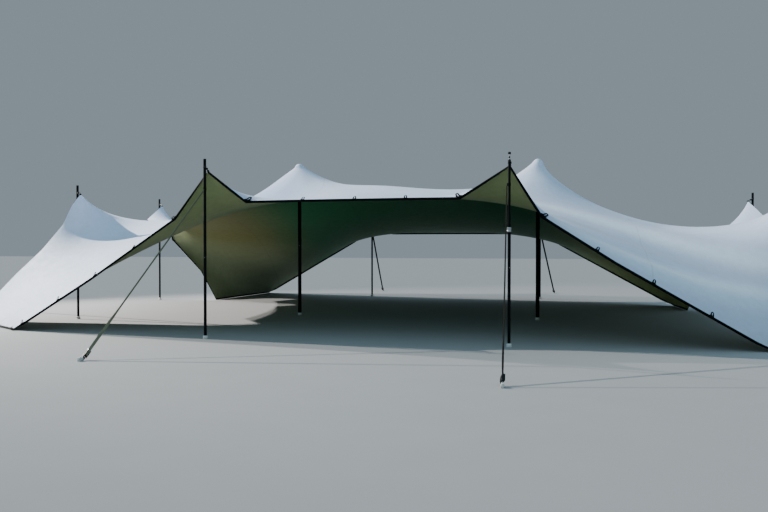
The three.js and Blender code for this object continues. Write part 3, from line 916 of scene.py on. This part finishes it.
def shell(grid_along, grid_deep):
    """A closed thin shell over the net. Its upper face has slot 0 and its lower face slot 1."""
    deep, along = np.meshgrid(grid_deep, grid_along, indexing="ij")
    rows, columns = along.shape
    upper = cloth_at(along, deep, np.full(along.shape, CLOTH_THICK / 2)).reshape(-1, 3)
    lower = cloth_at(along, deep, np.full(along.shape, -CLOTH_THICK / 2)).reshape(-1, 3)
    flat = np.stack([along / CELLS_ALONG * FLAT_WIDTH, deep / CELLS_DEEP * FLAT_DEPTH], -1)
    flat = flat.reshape(-1, 2)
    count = rows * columns
    index = np.arange(count).reshape(rows, columns)
    a, b = index[:-1, :-1].ravel(), index[:-1, 1:].ravel()
    c, d = index[1:, 1:].ravel(), index[1:, :-1].ravel()
    top_faces = np.stack([a, b, c, d], -1)
    low_faces = np.stack([a, d, c, b], -1) + count
    rim = np.concatenate([index[0, :-1], index[:-1, -1], index[-1, :0:-1], index[:0:-1, 0]])
    following = np.roll(rim, -1)
    rim_faces = np.stack([rim + count, following + count, following, rim], -1)
    shape = Shape()
    shape.points = [tuple(p) for p in np.concatenate([upper, lower]).tolist()]
    shape.faces = [tuple(f) for f in np.concatenate([top_faces, low_faces, rim_faces]).tolist()]
    shape.slots = [0] * len(top_faces) + [1] * len(low_faces) + [0] * len(rim_faces)
    shape.maps = [tuple(m) for m in np.concatenate([flat, flat]).tolist()]
    return shape


def make_canopy():
    shape = shell(grid_lines(CELLS_ALONG), grid_lines(CELLS_DEEP))
    panels = [f"canopy_panel_{k + 1}" for k in range(len(PANEL_SEAMS) + 1)]
    return shape.piece("canopy", [CLOTH_OUTSIDE, CLOTH_INSIDE], "cloth", 0.0, panels)


# The edges of the cloth, with their hems and loops.


# Middle lines of the hem, as (inset on the cloth, rise out of its face) pairs.
FLAT_HEM = ((0.036, 0), (0.028, 0), (0.019, 0), (0.01, 0), (0.003, 0), (-0.001, 0))
ROLLED_HEM = ((0.012, 0), (0.006, -0.0005), (0.001, -0.005), (0, -0.015), (0, -0.026), (0.003, -0.037))
UNDER_HEM = (
    (0.044, -0.005), (0.036, -0.005), (0.027, -0.005), (0.018, -0.005), (0.011, -0.0048),
    (0.005, -0.0045),
)
HEM_THICK = 0.005
# Between these heights the hem passes from its flat form to its raised one.
RAISED_ABOVE = (0.03, 0.14)
# Below the first height the hem's outer strip sinks to the floor, fully at the second under it.
SINKS_BELOW = 0.03
SINKS_OVER = 0.018
SINKING_INSET = 0.012
FLOOR_GAP = 0.003


class Edge:
    """One side of the cloth, with places measured along it and inwards from it. Loops at its kinks are
    larger. An edge without kinks has its hem and loops sewn to the inner face."""

    def __init__(self, name, cells, place_of, loops, kinks):
        self.name = name
        self.cells = cells
        self.place_of = place_of
        self.loops = loops
        self.kinks = kinks
        self.sewn_under = not kinks

    def pitch(self, cell):
        """The way along the edge, for each cell."""
        step = 0.02
        low = max(cell - step, 0)
        high = min(cell + step, self.cells)
        run = cloth_at(*self.place_of(high, 0.0)) - cloth_at(*self.place_of(low, 0.0))
        return run / (high - low)

    def cell_long(self, cell):
        return float(np.linalg.norm(self.pitch(cell)))

    def frame(self, cell):
        """The place on the edge, the ways along it, inwards and out of its face, and the cell's width."""
        near = 0.25
        here = cloth_at(*self.place_of(cell, 0.0))
        along = unit(self.pitch(cell))
        inward = cloth_at(*self.place_of(cell, near)) - here
        inward = inward - along * float(np.dot(inward, along))
        width = float(np.linalg.norm(inward)) / near
        inward = inward / np.linalg.norm(inward)
        normal = sampled(NORMALS, *self.place_of(cell, 0.0))
        normal = unit(normal - inward * float(np.dot(normal, inward)))
        return here, along, inward, normal, width

    def spot(self, cell, frame, inset, rise, sideways=0.0):
        """A place on the cloth that many metres inwards, with the rise out of its face."""
        here, along, inward, normal, width = frame
        if inset > 0:
            at = min(max(cell + sideways / self.cell_long(cell), 0), self.cells)
            return cloth_at(*self.place_of(at, inset / width), rise)
        return here + along * sideways + inward * inset + normal * rise


def spread(first, last, count):
    return tuple(first + (last - first) * k / count for k in range(count + 1))


FRONT_LOOPS = (1.3, 2.7, *spread(4.34, 10, 4), *spread(14, 20, 4), *spread(24, 29.97, 4), 31.3, 32.7)
BACK_LOOPS = (*spread(1.5, 6, 3), *spread(8, 14, 3), *spread(16, 21, 4), *spread(23, 30, 4), 32)
SIDE_LOOPS = (1.3, 2.7, 4, *spread(8, 14, 4), 18, 19.5)
FRONT_KINKS = (10, 14, 20, 24)
BACK_KINKS = (6, 14, 16, 21, 23, 30)
EDGES = (
    Edge("front", CELLS_ALONG, lambda cell, inset: (cell, inset), FRONT_LOOPS, FRONT_KINKS),
    Edge("back", CELLS_ALONG, lambda cell, inset: (cell, CELLS_DEEP - inset), BACK_LOOPS, BACK_KINKS),
    Edge("left", CELLS_DEEP, lambda cell, inset: (inset, cell), SIDE_LOOPS, ()),
    Edge("right", CELLS_DEEP, lambda cell, inset: (CELLS_ALONG - inset, cell), SIDE_LOOPS, ()),
)


def hem_section(share, raised):
    """The closed section of the hem and its places across the webbing, for a share of its raised form."""
    line = np.array(FLAT_HEM) * (1 - share) + np.array(raised) * share
    ways = np.gradient(line, axis=0)
    ways /= np.linalg.norm(ways, axis=1, keepdims=True)
    out = np.stack([-ways[:, 1], ways[:, 0]], -1) * HEM_THICK / 2
    across = lengths_along(line)
    across = across - across[-1] / 2
    return np.concatenate([line + out, (line - out)[::-1]]), np.concatenate([across, across[::-1]])


def make_hem(edge):
    """The webbing sewn round the edge of the cloth. It lies flat on the ground. Above it, the front and
    back hems turn down, and those of the sides lie on the inner face."""
    raised = UNDER_HEM if edge.sewn_under else ROLLED_HEM
    rings = []
    places_across = []
    path = []
    for step in range(edge.cells * FINE + 1):
        cell = step / FINE
        frame = edge.frame(cell)
        height = frame[0][2]
        share = (height - RAISED_ABOVE[0]) / (RAISED_ABOVE[1] - RAISED_ABOVE[0])
        section, across = hem_section(min(max(share, 0.0), 1.0), raised)
        ring = np.array([edge.spot(cell, frame, inset, rise) for inset, rise in section])
        on_ground = min(max((SINKS_BELOW - height) / SINKS_OVER, 0.0), 1.0)
        ring[section[:, 0] < SINKING_INSET, 2] -= on_ground * (GROUND_EDGE - HEM_THICK / 2 - FLOOR_GAP)
        rings.append(ring)
        places_across.append(across)
        path.append(frame[0])
    lengths = lengths_along(path)
    maps = [(length, s) for length, across in zip(lengths, places_across) for s in across]
    shape = Shape()
    shape.put(ringed(np.array(rings), maps))
    replaced = [f"{edge.name}_edge_webbing"]
    return shape.piece(f"{edge.name}_webbing_band", [WEBBING], "webbing", 0.0, replaced)


LOOP_HIGH = 0.056
LOOP_HALF_GAP = 0.017
LOOP_WIDE = 0.02
LOOP_THICK = 0.006
LOOP_GAP = 0.001
LOOP_RISE = 0.034
UNDER_LOOP_DROP = 0.005
UNDER_LOOP_RISE = 0.006
KINK_SCALE = 1.3
# Patches: long along the edge and wide over the cloth, and how far their faces stand from its middle.
KINK_PATCH = (0.1, 0.042)
LOOP_PATCH = (0.066, 0.034)
PATCH_OUT = 0.0045
PATCH_MIDDLE_OUT = 0.005
PATCH_PAST_EDGE = 0.004


def add_loop(shape, edge, cell, scale):
    """A loop of webbing on the hem, laid back over the outside of the cloth, or under it."""
    radius = LOOP_HALF_GAP * scale
    straight = LOOP_HIGH * scale - radius
    line = [(-radius, straight * k / 4) for k in range(5)]
    for k in range(1, 10):
        angle = math.pi * (1 - k / 10)
        line.append((radius * math.cos(angle), straight + radius * math.sin(angle)))
    line += [(radius, straight * k / 4) for k in range(4, -1, -1)]
    frame = edge.frame(cell)
    rest = HEM_THICK / 2 + LOOP_THICK / 2 + LOOP_GAP
    path = []
    for sideways, inset in line:
        share = max(inset / (LOOP_HIGH * scale), 0)
        rise = rest + LOOP_RISE * share * share
        if edge.sewn_under:
            rise = -rest - UNDER_LOOP_DROP - UNDER_LOOP_RISE * share * share
        path.append(edge.spot(cell, frame, inset + LOOP_GAP, rise, sideways))
    tangents = np.gradient(np.array(path), axis=0)
    sides = [unit(np.cross(tangent, frame[3])) for tangent in tangents]
    ups = [np.cross(side, unit(tangent)) for side, tangent in zip(sides, tangents)]
    shape.put(swept(path, sides, ups, rounded(LOOP_WIDE * scale / 2, LOOP_THICK / 2, BAND_CORNER)))


def add_patch(shape, edge, cell, long, wide):
    """Webbing doubled over the hem, under a loop or where the edge turns, on both faces of the cloth."""
    rings = []
    path = []
    upper = [(wide, PATCH_OUT), (wide * 0.5, PATCH_MIDDLE_OUT), (-PATCH_PAST_EDGE, PATCH_OUT)]
    section = upper + [(inset, -rise) for inset, rise in reversed(upper)]
    for k in range(9):
        at = cell + long * (k / 8 - 0.5) / edge.cell_long(cell + 0.1 * (k - 4))
        frame = edge.frame(at)
        rings.append([edge.spot(at, frame, inset, rise) for inset, rise in section])
        path.append(frame[0])
    maps = [(length, inset - wide / 2) for length in lengths_along(path) for inset, _ in section]
    shape.put(ringed(np.array(rings), maps))


def make_loops(edge):
    shape = Shape()
    for cell in edge.loops:
        add_loop(shape, edge, cell, KINK_SCALE if cell in edge.kinks else 1.0)
        if not edge.sewn_under and cell not in edge.kinks:
            add_patch(shape, edge, cell, *LOOP_PATCH)
    for cell in edge.kinks:
        add_patch(shape, edge, cell, *KINK_PATCH)
    return shape.piece(f"{edge.name}_edge_loops", [WEBBING], "webbing")


# Poles.


FOOT_PROFILE = (
    (0, 0), (0.043, 0), (0.044, 0.004), (0.0435, 0.012), (0.038, 0.017), (0.036, 0.04),
    (0.0335, 0.052), (0.031, 0.055), (0, 0.055),
)
FOOT_HIGH = 0.055
UPRIGHT = (0, 0, 1)
EDGE_RADIUS = 0.024
UPPER_RADIUS = 0.02
INNER_RADIUS = 0.038
KNOB_RADIUS = 0.023
POLE_ABOVE_TIP = 0.18
HEAD_LONG = 0.118
FOOT_RIB = (0.006, 0.004, 0.03)
FOOT_RIB_OUT = 0.0375


def make_foot(name):
    """The white foot of a pole, with ribs round it."""
    base = base_of(name)
    shape = Shape()
    add_turned(shape, base, FOOT_PROFILE, 0, 48)
    for k in range(8):
        angle = 2 * math.pi * k / 8 + 0.2
        out = np.array([math.cos(angle), math.sin(angle), 0])
        side = np.array([-math.sin(angle), math.cos(angle), 0])
        at = base + out * FOOT_RIB_OUT + [0, 0, 0.03]
        shape.put(block(FOOT_RIB, 0.5), 0, at, [out, side, UPRIGHT])
    return shape.piece(f"{name}_foot_cup", [WHITE_PLASTIC], "foot", 0.001, [f"{name}_pole_foot"])


def at_level(profile, level):
    """A profile moved up to a level."""
    return [(radius, level + height) for radius, height in profile]


def tube_profile(radius, low, high, joints=()):
    """A tube with its ends eased and a sleeve at each joint."""
    wide = radius + 0.0012
    profile = [(0, low), (radius * 0.92, low), (radius, low + 0.002)]
    for level in joints:
        profile += at_level([(radius, -0.06), (wide, -0.058), (wide, 0), (radius, 0.0015)], level)
    profile += [(radius, high - 0.002), (radius * 0.92, high), (0, high)]
    return profile


def telescopic_head(shape, base, top):
    """The spigot above the thin upper tube, with a black collar half way and a black knob."""
    shoulder = top - HEAD_LONG
    spigot = [(0, shoulder - 0.004), (0.0085, shoulder - 0.003), (0.0085, top - 0.004), (0, top - 0.003)]
    add_turned(shape, base, spigot, 1, 24)
    plug = [(0, -0.003), (UPPER_RADIUS * 0.97, -0.003), (UPPER_RADIUS * 0.97, 0.002),
            (UPPER_RADIUS * 0.6, 0.006), (0, 0.006)]
    add_turned(shape, base, at_level(plug, shoulder), 2)
    collar = [(0, -0.094), (0.011, -0.094), (0.0125, -0.09), (0.0125, -0.07), (0.011, -0.066),
              (0, -0.066)]
    add_turned(shape, base, at_level(collar, top), 2, 32)
    knob = [(0, -0.038), (KNOB_RADIUS * 0.8, -0.037), (KNOB_RADIUS, -0.031), (KNOB_RADIUS, -0.007),
            (KNOB_RADIUS * 0.8, -0.0015), (KNOB_RADIUS * 0.5, 0), (0, 0)]
    add_turned(shape, base, at_level(knob, top), 2, 32)


def add_plug(shape, base, radius, top):
    """The black plug that closes a plain tube."""
    inner, outer = radius - 0.003, radius + 0.0008
    profile = [(0, -0.03), (inner, -0.03), (inner, -0.006), (outer, -0.006), (outer, -0.002),
               (radius * 0.9, 0), (0, 0)]
    add_turned(shape, base, at_level(profile, top), 2)


def add_turned(shape, base, profile, slot=0, sides=40):
    """A solid of revolution that stands on a place of the plan."""
    shape.put(turned(profile, sides), slot, base)


def add_button(shape, base, radius, level, way):
    """The steel spring button that locks a sleeve."""
    profile = [(0, 0), (0.005, 0), (0.005, 0.004), (0.003, 0.006), (0, 0.006)]
    out = unit([way[0], way[1], 0])
    side = np.array([-out[1], out[0], 0])
    at = np.array(base) + out * (radius - 0.001) + [0, 0, level]
    shape.put(turned(profile, 16), 1, at, [side, UPRIGHT, out])


def base_of(name):
    """Where a pole stands."""
    at = middle(f"{name}_pole_foot")
    return np.array([at.x, at.y, 0.0])


def tip_of(name):
    along, deep = EDGE_POLES[name][0]
    return NET[deep * FINE, along * FINE]


def make_edge_pole(name):
    """An edge pole with its hook. The telescopic one has a lower and an upper tube, and a clamp."""
    tip = tip_of(name)
    base = base_of(name)
    top = tip[2] + POLE_ABOVE_TIP
    inward = unit([*(tip - base)[:2], 0])
    bottom = FOOT_HIGH - 0.004
    materials = [POLE_PAINT, STEEL, RUBBER]
    if name == TELESCOPIC:
        low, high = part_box(f"{name}_pole_collar")
        joint = (low[2] + high[2]) / 2
        lower = Shape()
        add_turned(lower, base, tube_profile(EDGE_RADIUS, bottom, joint - 0.001))
        add_button(lower, base, EDGE_RADIUS, 1.2, (0.3, -1))
        lower.piece(f"{name}_lower_pole", materials, "pole", 0, [f"{name}_pole_lower_tube"])
        make_clamp(name, base, joint)
        upper = Shape()
        add_turned(upper, base, tube_profile(UPPER_RADIUS, joint - 0.02, top - HEAD_LONG))
        telescopic_head(upper, base, top)
        node_name = f"{name}_pole_upper_tube"
    else:
        upper = Shape()
        add_turned(upper, base, tube_profile(EDGE_RADIUS, bottom, top - 0.004, (1.42,)))
        add_plug(upper, base, EDGE_RADIUS, top)
        add_button(upper, base, EDGE_RADIUS, 1.33, -inward)
        node_name = f"{name}_pole"
    add_hook(upper, base, tip, inward, UPPER_RADIUS if name == TELESCOPIC else EDGE_RADIUS)
    piece_name = f"{name}_upper_pole" if name == TELESCOPIC else f"{name}_edge_pole"
    upper.piece(piece_name, materials, "pole", 0, [node_name])


HOOK_RADIUS = 0.0055
HOOK_ABOVE_TIP = 0.02
SADDLE = (0.036, 0.056, 0.032)
RING_RADIUS = 0.02
RING_FROM_TIP = 0.024


def add_hook(shape, base, tip, inward, radius):
    """The steel hook on the pole that carries the ring of the cloth's tip, with its saddle and collar."""
    level = tip[2] + HOOK_ABOVE_TIP
    reach = float(np.linalg.norm((tip - base)[:2])) - RING_FROM_TIP - RING_RADIUS
    path = []
    for k in range(11):
        share = k / 10
        out = radius * 0.9 + (reach - radius * 0.9) * share
        path.append(base + inward * out + [0, 0, level + 0.03 * (1 - share) ** 2 - 0.012 * share])
    for k in range(1, 9):
        angle = math.pi * 0.75 * k / 8
        curl = inward * 0.014 * math.sin(angle) + np.array([0, 0, 0.014]) * (1 - math.cos(angle))
        path.append(path[10] + curl)
    side = np.cross(inward, UPRIGHT)
    shape.put(tube(path, HOOK_RADIUS, side), 1)
    shape.put(block(SADDLE, 0.3), 2, path[5] + inward * 0.002, [inward, side, UPRIGHT])
    low, high = level + 0.012, level + 0.044
    inner, outer = radius - 0.002, radius + 0.0035
    shape.put(ring_turned([(inner, low), (outer, low), (outer, high), (inner, high)], 32), 2, base)


def make_clamp(name, base, joint):
    """The bright clamp round the joint of the two tubes, with its bolt and lever."""
    shape = Shape()
    lower_half = [(0.0195, -0.035), (0.035, -0.035), (0.037, -0.031), (0.037, -0.015), (0.034, -0.011)]
    ring = lower_half + [(radius, -height) for radius, height in reversed(lower_half)]
    middle_at = base + [0, 0, joint]
    shape.put(ring_turned(ring, 40), 0, middle_at)
    for side in (-1, 1):
        shape.put(block((0.022, 0.005, 0.05), 0.3), 0, middle_at + [-0.042, side * 0.006, 0])
    bolt = [middle_at + [-0.045, y, 0] for y in np.linspace(-0.017, 0.017, 5)]
    shape.put(tube(bolt, 0.0045, UPRIGHT))
    lever = [middle_at + [-0.046 - 0.002 * k, -0.016, -0.012 * k] for k in range(5)]
    shape.put(strap(lever, (0, 1, 0), 0.012, 0.004))
    return shape.piece(f"{name}_clamp", [STEEL], "collar", 0.0008, [f"{name}_pole_collar"])


def make_inner_pole(name):
    """A stout inner pole with a joint sleeve and a rubber mushroom head under the peak."""
    base = base_of(name)
    top = PEAK - 0.006
    shape = Shape()
    body_top = top - 0.1
    profile = [(0, 0.051), (0.036, 0.051), (INNER_RADIUS, 0.054)]
    sleeve = INNER_RADIUS + 0.0015
    profile += [(INNER_RADIUS, 1.54), (sleeve, 1.542), (sleeve, 1.62), (INNER_RADIUS, 1.622)]
    profile += [(INNER_RADIUS, body_top - 0.01), (0.035, body_top), (0, body_top)]
    add_turned(shape, base, profile, 0, 48)
    head = [(0, body_top - 0.002), (0.034, body_top - 0.002), (0.03, body_top + 0.012),
            (0.03, top - 0.062), (0.058, top - 0.05), (0.066, top - 0.04), (0.062, top - 0.026),
            (0.04, top - 0.01), (0, top)]
    add_turned(shape, base, head, 2)
    add_button(shape, base, INNER_RADIUS, 1.5, (0.2, -1))
    shape.piece(f"{name}_main_pole", [POLE_PAINT, STEEL, RUBBER], "pole", 0, [f"{name}_pole"])


# Rings and loops at the tips of the cloth.


# The middle line of the tab round the ring, as (inwards, up) from the tip.
TAB_LINE = (
    (0.035, -0.012), (0.012, 0), (-0.004, 0.007), (-0.012, 0.001), (-0.004, -0.009), (0.02, -0.024),
)


def make_tip(name):
    """The webbing tab and the steel ring at a tip of the cloth."""
    tip = tip_of(name)
    inward = unit([*(tip - base_of(name))[:2], 0])
    side = np.array([-inward[1], inward[0], 0])
    shape = Shape()
    centre = tip - inward * RING_FROM_TIP + [0, 0, 0.004]
    ring = [centre + inward * out + [0, 0, up] for out, up in circle(RING_RADIUS, 28)]
    shape.put(tube(ring, 0.0035, side, 10, True), 1)
    tab = [tip + inward * out + [0, 0, up] for out, up in TAB_LINE]
    shape.put(strap(tab, UPRIGHT, 0.032, 0.004))
    return shape.piece(f"{name}_tip_ring", [WEBBING, STEEL], "pole")


# Guy straps.


STRAP_THICK = 0.003
STRAP_BELOW_TIP = 0.31
# The strap of the telescopic pole hangs beside it.
STRAP_OUT = 0.036
STRAP_ASIDE = np.array([-STRAP_OUT, -0.008, 0.0])
STRAP_END_LEVEL = 0.018
STRAP_TURNS_AT = (0.72, 0.86)
TAIL_LONG = 0.62
RATCHET_LONG = 0.15
RATCHET_FROM_END = 0.022
CAP_LONG = 0.088
CAP_WIDE = 0.036
# Tiers of the stake's cap: shares of its length and width, and from and to in height.
CAP_TIERS = ((1.0, 1.0, 0.0, 0.034), (0.94, 0.86, 0.034, 0.046), (0.8, 0.7, 0.046, 0.05))
CHEEK_OUTLINE = (
    (-0.07, -0.012), (-0.062, -0.02), (0.03, -0.02), (0.058, -0.012), (0.07, 0.0), (0.062, 0.014),
    (0.035, 0.02), (0.0, 0.018), (-0.05, 0.006), (-0.068, 0.002),
)
ARM_OUTLINE = (
    (-0.06, 0.004), (-0.056, 0.018), (0.02, 0.022), (0.048, 0.016), (0.052, 0.0), (0.036, -0.01),
    (0.02, 0.002),
)
AXLE_ALONG = 0.034
FRAME_HALF = 0.0305


def gear(radius, teeth, thick):
    """A ratchet wheel about its own axis, Z."""
    outline = []
    for k in range(teeth):
        start = 2 * math.pi * k / teeth
        outline.append((radius * math.cos(start), radius * math.sin(start)))
        inner = start + 2 * math.pi / teeth * 0.8
        outline.append((radius * 0.78 * math.cos(inner), radius * 0.78 * math.sin(inner)))
    return plate(outline, thick)


def make_ratchet(name, origin, axes):
    """A webbing ratchet. Its axes run along the strap, across it and out of its face."""
    long_way, side, up = axes = [np.asarray(axis, float) for axis in axes]
    shape = Shape()
    standing = [long_way, up, side]
    axle = origin + long_way * AXLE_ALONG
    for sign in (-1, 1):
        shape.put(plate(CHEEK_OUTLINE, 0.0028), 1, origin + side * sign * 0.0265, standing)
        shape.put(plate(ARM_OUTLINE, 0.0025), 1, origin + side * sign * 0.0298, standing)
        shape.put(gear(0.0175, 11, 0.003), 2, axle + side * sign * 0.0228, standing)
    rod = [axle + side * s for s in np.linspace(-FRAME_HALF, FRAME_HALF, 5)]
    shape.put(tube(rod, 0.007, up, 16), 2)
    roll = [axle + side * s for s in np.linspace(-0.021, 0.021, 7)]
    shape.put(tube(roll, 0.0145, up, 24))
    end = origin - long_way * 0.06 - up * 0.006
    pin = [end + side * s for s in np.linspace(-FRAME_HALF, FRAME_HALF, 5)]
    shape.put(tube(pin, 0.0055, up, 14), 2)
    shape.put(block((0.03, 0.056, 0.012), 0.4), 3, origin - long_way * 0.045 + up * 0.013, axes)
    shape.put(block((0.05, 0.04, 0.003), 0.3), 1, origin - long_way * 0.002 + up * 0.012, axes)
    materials = [STRAPPING, DARK_STEEL, STEEL, RUBBER]
    return shape.piece(f"{name}_ratchet", materials, "webbing", 0.0006, [f"{name}_guy_strap"])


def make_guy(name):
    """The strap from the pole to the stake, with its wrap round the pole, its tail and its ratchet."""
    _, upper_turn, lower_turn = EDGE_POLES[name]
    base = base_of(name)
    stake = middle(f"{name}_stake")
    to_pole = unit([base[0] - stake.x, base[1] - stake.y, 0])
    hung_at = base + [0, 0, tip_of(name)[2] - STRAP_BELOW_TIP]
    start = hung_at + (STRAP_ASIDE if name == TELESCOPIC else [0, 0, 0])
    end = np.array([stake.x, stake.y, STRAP_END_LEVEL]) + to_pole * CAP_LONG / 2
    length = float(np.linalg.norm(end - start))
    way = (end - start) / length
    level_side = unit(np.cross([0, 0, 1], way))
    face = np.cross(way, level_side)
    pole_radius = UPPER_RADIUS if name == TELESCOPIC else EDGE_RADIUS
    section = rounded(STRAP_WIDE / 2, STRAP_THICK / 2, BAND_CORNER)
    shape = Shape()

    def axes_at(far):
        """The ways across the strap and out of its face, that far from its upper end."""
        share = (far / length - STRAP_TURNS_AT[0]) / (STRAP_TURNS_AT[1] - STRAP_TURNS_AT[0])
        share = min(max(share, 0), 1)
        turn = upper_turn + (lower_turn - upper_turn) * share * share * (3 - 2 * share)
        side = level_side * math.cos(turn) + face * math.sin(turn)
        return side, np.cross(way, side)

    def add_run(first, last, count, lift, slot=0):
        """Webbing from one place to another along the strap, lifted in its middle."""
        places = np.linspace(first, last, count)
        sides, ups = zip(*(axes_at(far) for far in places))
        lifts = [lift * math.sin(math.pi * share) for share in np.linspace(0, 1, count)]
        path = [start + way * far + up * rise for far, up, rise in zip(places, ups, lifts)]
        shape.put(swept(path, sides, ups, section), slot)

    ratchet_top = length - RATCHET_FROM_END - RATCHET_LONG
    # Slot 1 is the lighter webbing with painted sheen.
    add_run(pole_radius, ratchet_top + 0.11, 61, 0.0, 1 if name == SHEEN_GREY_STRAP else 0)
    add_run(ratchet_top - TAIL_LONG, ratchet_top + 0.06, 25, 0.007)
    add_run(length - RATCHET_FROM_END - 0.02, length - 0.004, 7, 0.0)
    half = STRAP_WIDE / 2
    wrap = [(pole_radius - 0.001, -half), (pole_radius + 0.003, -half), (pole_radius + 0.0035, 0.0),
            (pole_radius + 0.003, half), (pole_radius - 0.001, half)]
    shape.put(ring_turned(wrap, 32), 0, hung_at)
    if name == TELESCOPIC:
        tab = np.linspace(hung_at + STRAP_ASIDE * pole_radius / STRAP_OUT, start, 5)
        shape.put(strap(tab, [0, 1, 0], 0.042, 0.005))
    shape.piece(f"{name}_strap", [STRAPPING, SHEEN_GREY_STRAPPING], "webbing", 0, [f"{name}_guy_strap"])
    far = ratchet_top + RATCHET_LONG / 2
    make_ratchet(name, start + way * far, (way, *axes_at(far)))


def make_stake(name):
    """The white cap at the stake, in line with the strap, and the head of the steel rod in it."""
    at = middle(f"{name}_stake")
    base = np.array([at.x, at.y, 0.0])
    way = unit((base_of(name) - base) * [1, 1, 0])
    axes = [way, np.array([-way[1], way[0], 0]), UPRIGHT]
    shape = Shape()
    for long, wide, low, high in CAP_TIERS:
        tier = block((CAP_LONG * long, CAP_WIDE * wide, high - low), 0.4)
        shape.put(tier, 0, base + [0, 0, (low + high) / 2], axes)
    for k in range(-2, 3):
        rib = block((0.004, CAP_WIDE + 0.003, 0.028), 0.5)
        shape.put(rib, 0, base + way * 0.017 * k + [0, 0, 0.016], axes)
    rod = [(0, 0.04), (0.0085, 0.04), (0.0085, 0.054), (0.011, 0.055), (0.011, 0.06), (0.0095, 0.062),
           (0, 0.062)]
    add_turned(shape, base, rod, 1, 24)
    materials = [WHITE_PLASTIC, STEEL]
    return shape.piece(f"{name}_capped_stake", materials, "stake", 0.0015, [f"{name}_stake"])


def make_peg(name):
    """A ground peg with a flat head, and the webbing round it."""
    low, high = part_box(f"{name}_ground_peg")
    base = np.array([(low[0] + high[0]) / 2, (low[1] + high[1]) / 2, 0])
    shape = Shape()
    profile = [(0, 0), (0.01, 0), (0.01, 0.058), (0.022, 0.0585), (0.024, 0.061), (0.0235, 0.066),
               (0.018, 0.0695), (0, 0.07)]
    add_turned(shape, base, profile, 0, 28)
    band = [(0.0095, 0.012), (0.0135, 0.012), (0.0135, 0.042), (0.0095, 0.042)]
    shape.put(ring_turned(band, 28), 1, base)
    return shape.piece(f"{name}_peg", [STEEL, WEBBING], "peg", 0.0006, [f"{name}_ground_peg"])


def make_tent():
    canopy = make_canopy()
    trims = [make_hem(edge) for edge in EDGES]
    trims += [make_loops(edge) for edge in EDGES]
    for name in PEAKS:
        make_inner_pole(name)
        make_foot(name)
    for name in EDGE_POLES:
        make_edge_pole(name)
        make_foot(name)
        trims.append(make_tip(name))
        make_guy(name)
        make_stake(name)
    for name in ("front_left", "front_right", "back_left", "back_right"):
        make_peg(name)


# The stage.


FLOOR_HALF = 60.0
WARM = (1.0, 0.94, 0.88)
COOL = (0.42, 0.8, 1.0)
SPOT_AT = Vector((-13.05, 3.85, 7.87))
SPOT_TOWARDS = Vector((2.0, 4.0, 1.5))


def make_floor():
    mesh = bpy.data.meshes.new("floor")
    corners = [(FLOOR_HALF * x, FLOOR_HALF * y, 0) for x, y in ((-1, -1), (1, -1), (1, 1), (-1, 1))]
    mesh.from_pydata(corners, [], [(0, 1, 2, 3)])
    material, tree, shader, solid, _ = new_material("floor")
    colour = mixed(tree, noise(tree, solid, 1.5, 4.0), linear(150, 151, 153), linear(156, 157, 158))
    give(tree, shader, {"Base Color": colour, "Roughness": 0.9})
    mesh.materials.append(material)
    floor = linked("floor", mesh)
    floor.location.z = -0.001


def make_camera():
    data = bpy.data.cameras.new("camera")
    data.lens = CAMERA_LENS
    data.sensor_width = SENSOR
    data.clip_end = 300.0
    camera = linked("camera", data)
    camera.location = Vector(CAMERA_AT) + Vector(SHIFT)
    camera.rotation_euler = (math.radians(90 - CAMERA_DOWN), 0, math.radians(CAMERA_TURN))
    bpy.context.scene.camera = camera


def add_light(name, kind, energy, colour, from_way, at=(0, 0, 0), **settings):
    """A lamp that shines from a direction. A spot also has a place."""
    light = bpy.data.lights.new(name, kind)
    light.energy = energy
    light.color = colour
    for key, value in settings.items():
        setattr(light, key, value)
    lamp = linked(name, light)
    lamp.location = at
    lamp.rotation_euler = Vector(from_way).to_track_quat("Z", "Y").to_euler()


def make_light():
    world = bpy.data.worlds.new("studio")
    bpy.context.scene.world = world
    world.use_nodes = True
    background = world.node_tree.nodes["Background"]
    background.inputs["Color"].default_value = linear(132, 145, 154)
    background.inputs["Strength"].default_value = 1.0
    add_light("key", "SUN", 3.6, WARM, (-0.8, 0.12, 0.47), angle=math.radians(0.9))
    add_light("key_near", "SPOT", 13000.0, WARM, SPOT_AT - SPOT_TOWARDS, SPOT_AT + Vector(SHIFT),
              shadow_soft_size=0.1, spot_size=math.radians(84), spot_blend=0.6)
    add_light("soft_top", "SUN", 1.15, COOL, (0.1, -0.35, 1.0), angle=math.radians(130.0))


make_camera()
make_light()
make_floor()
make_tent()
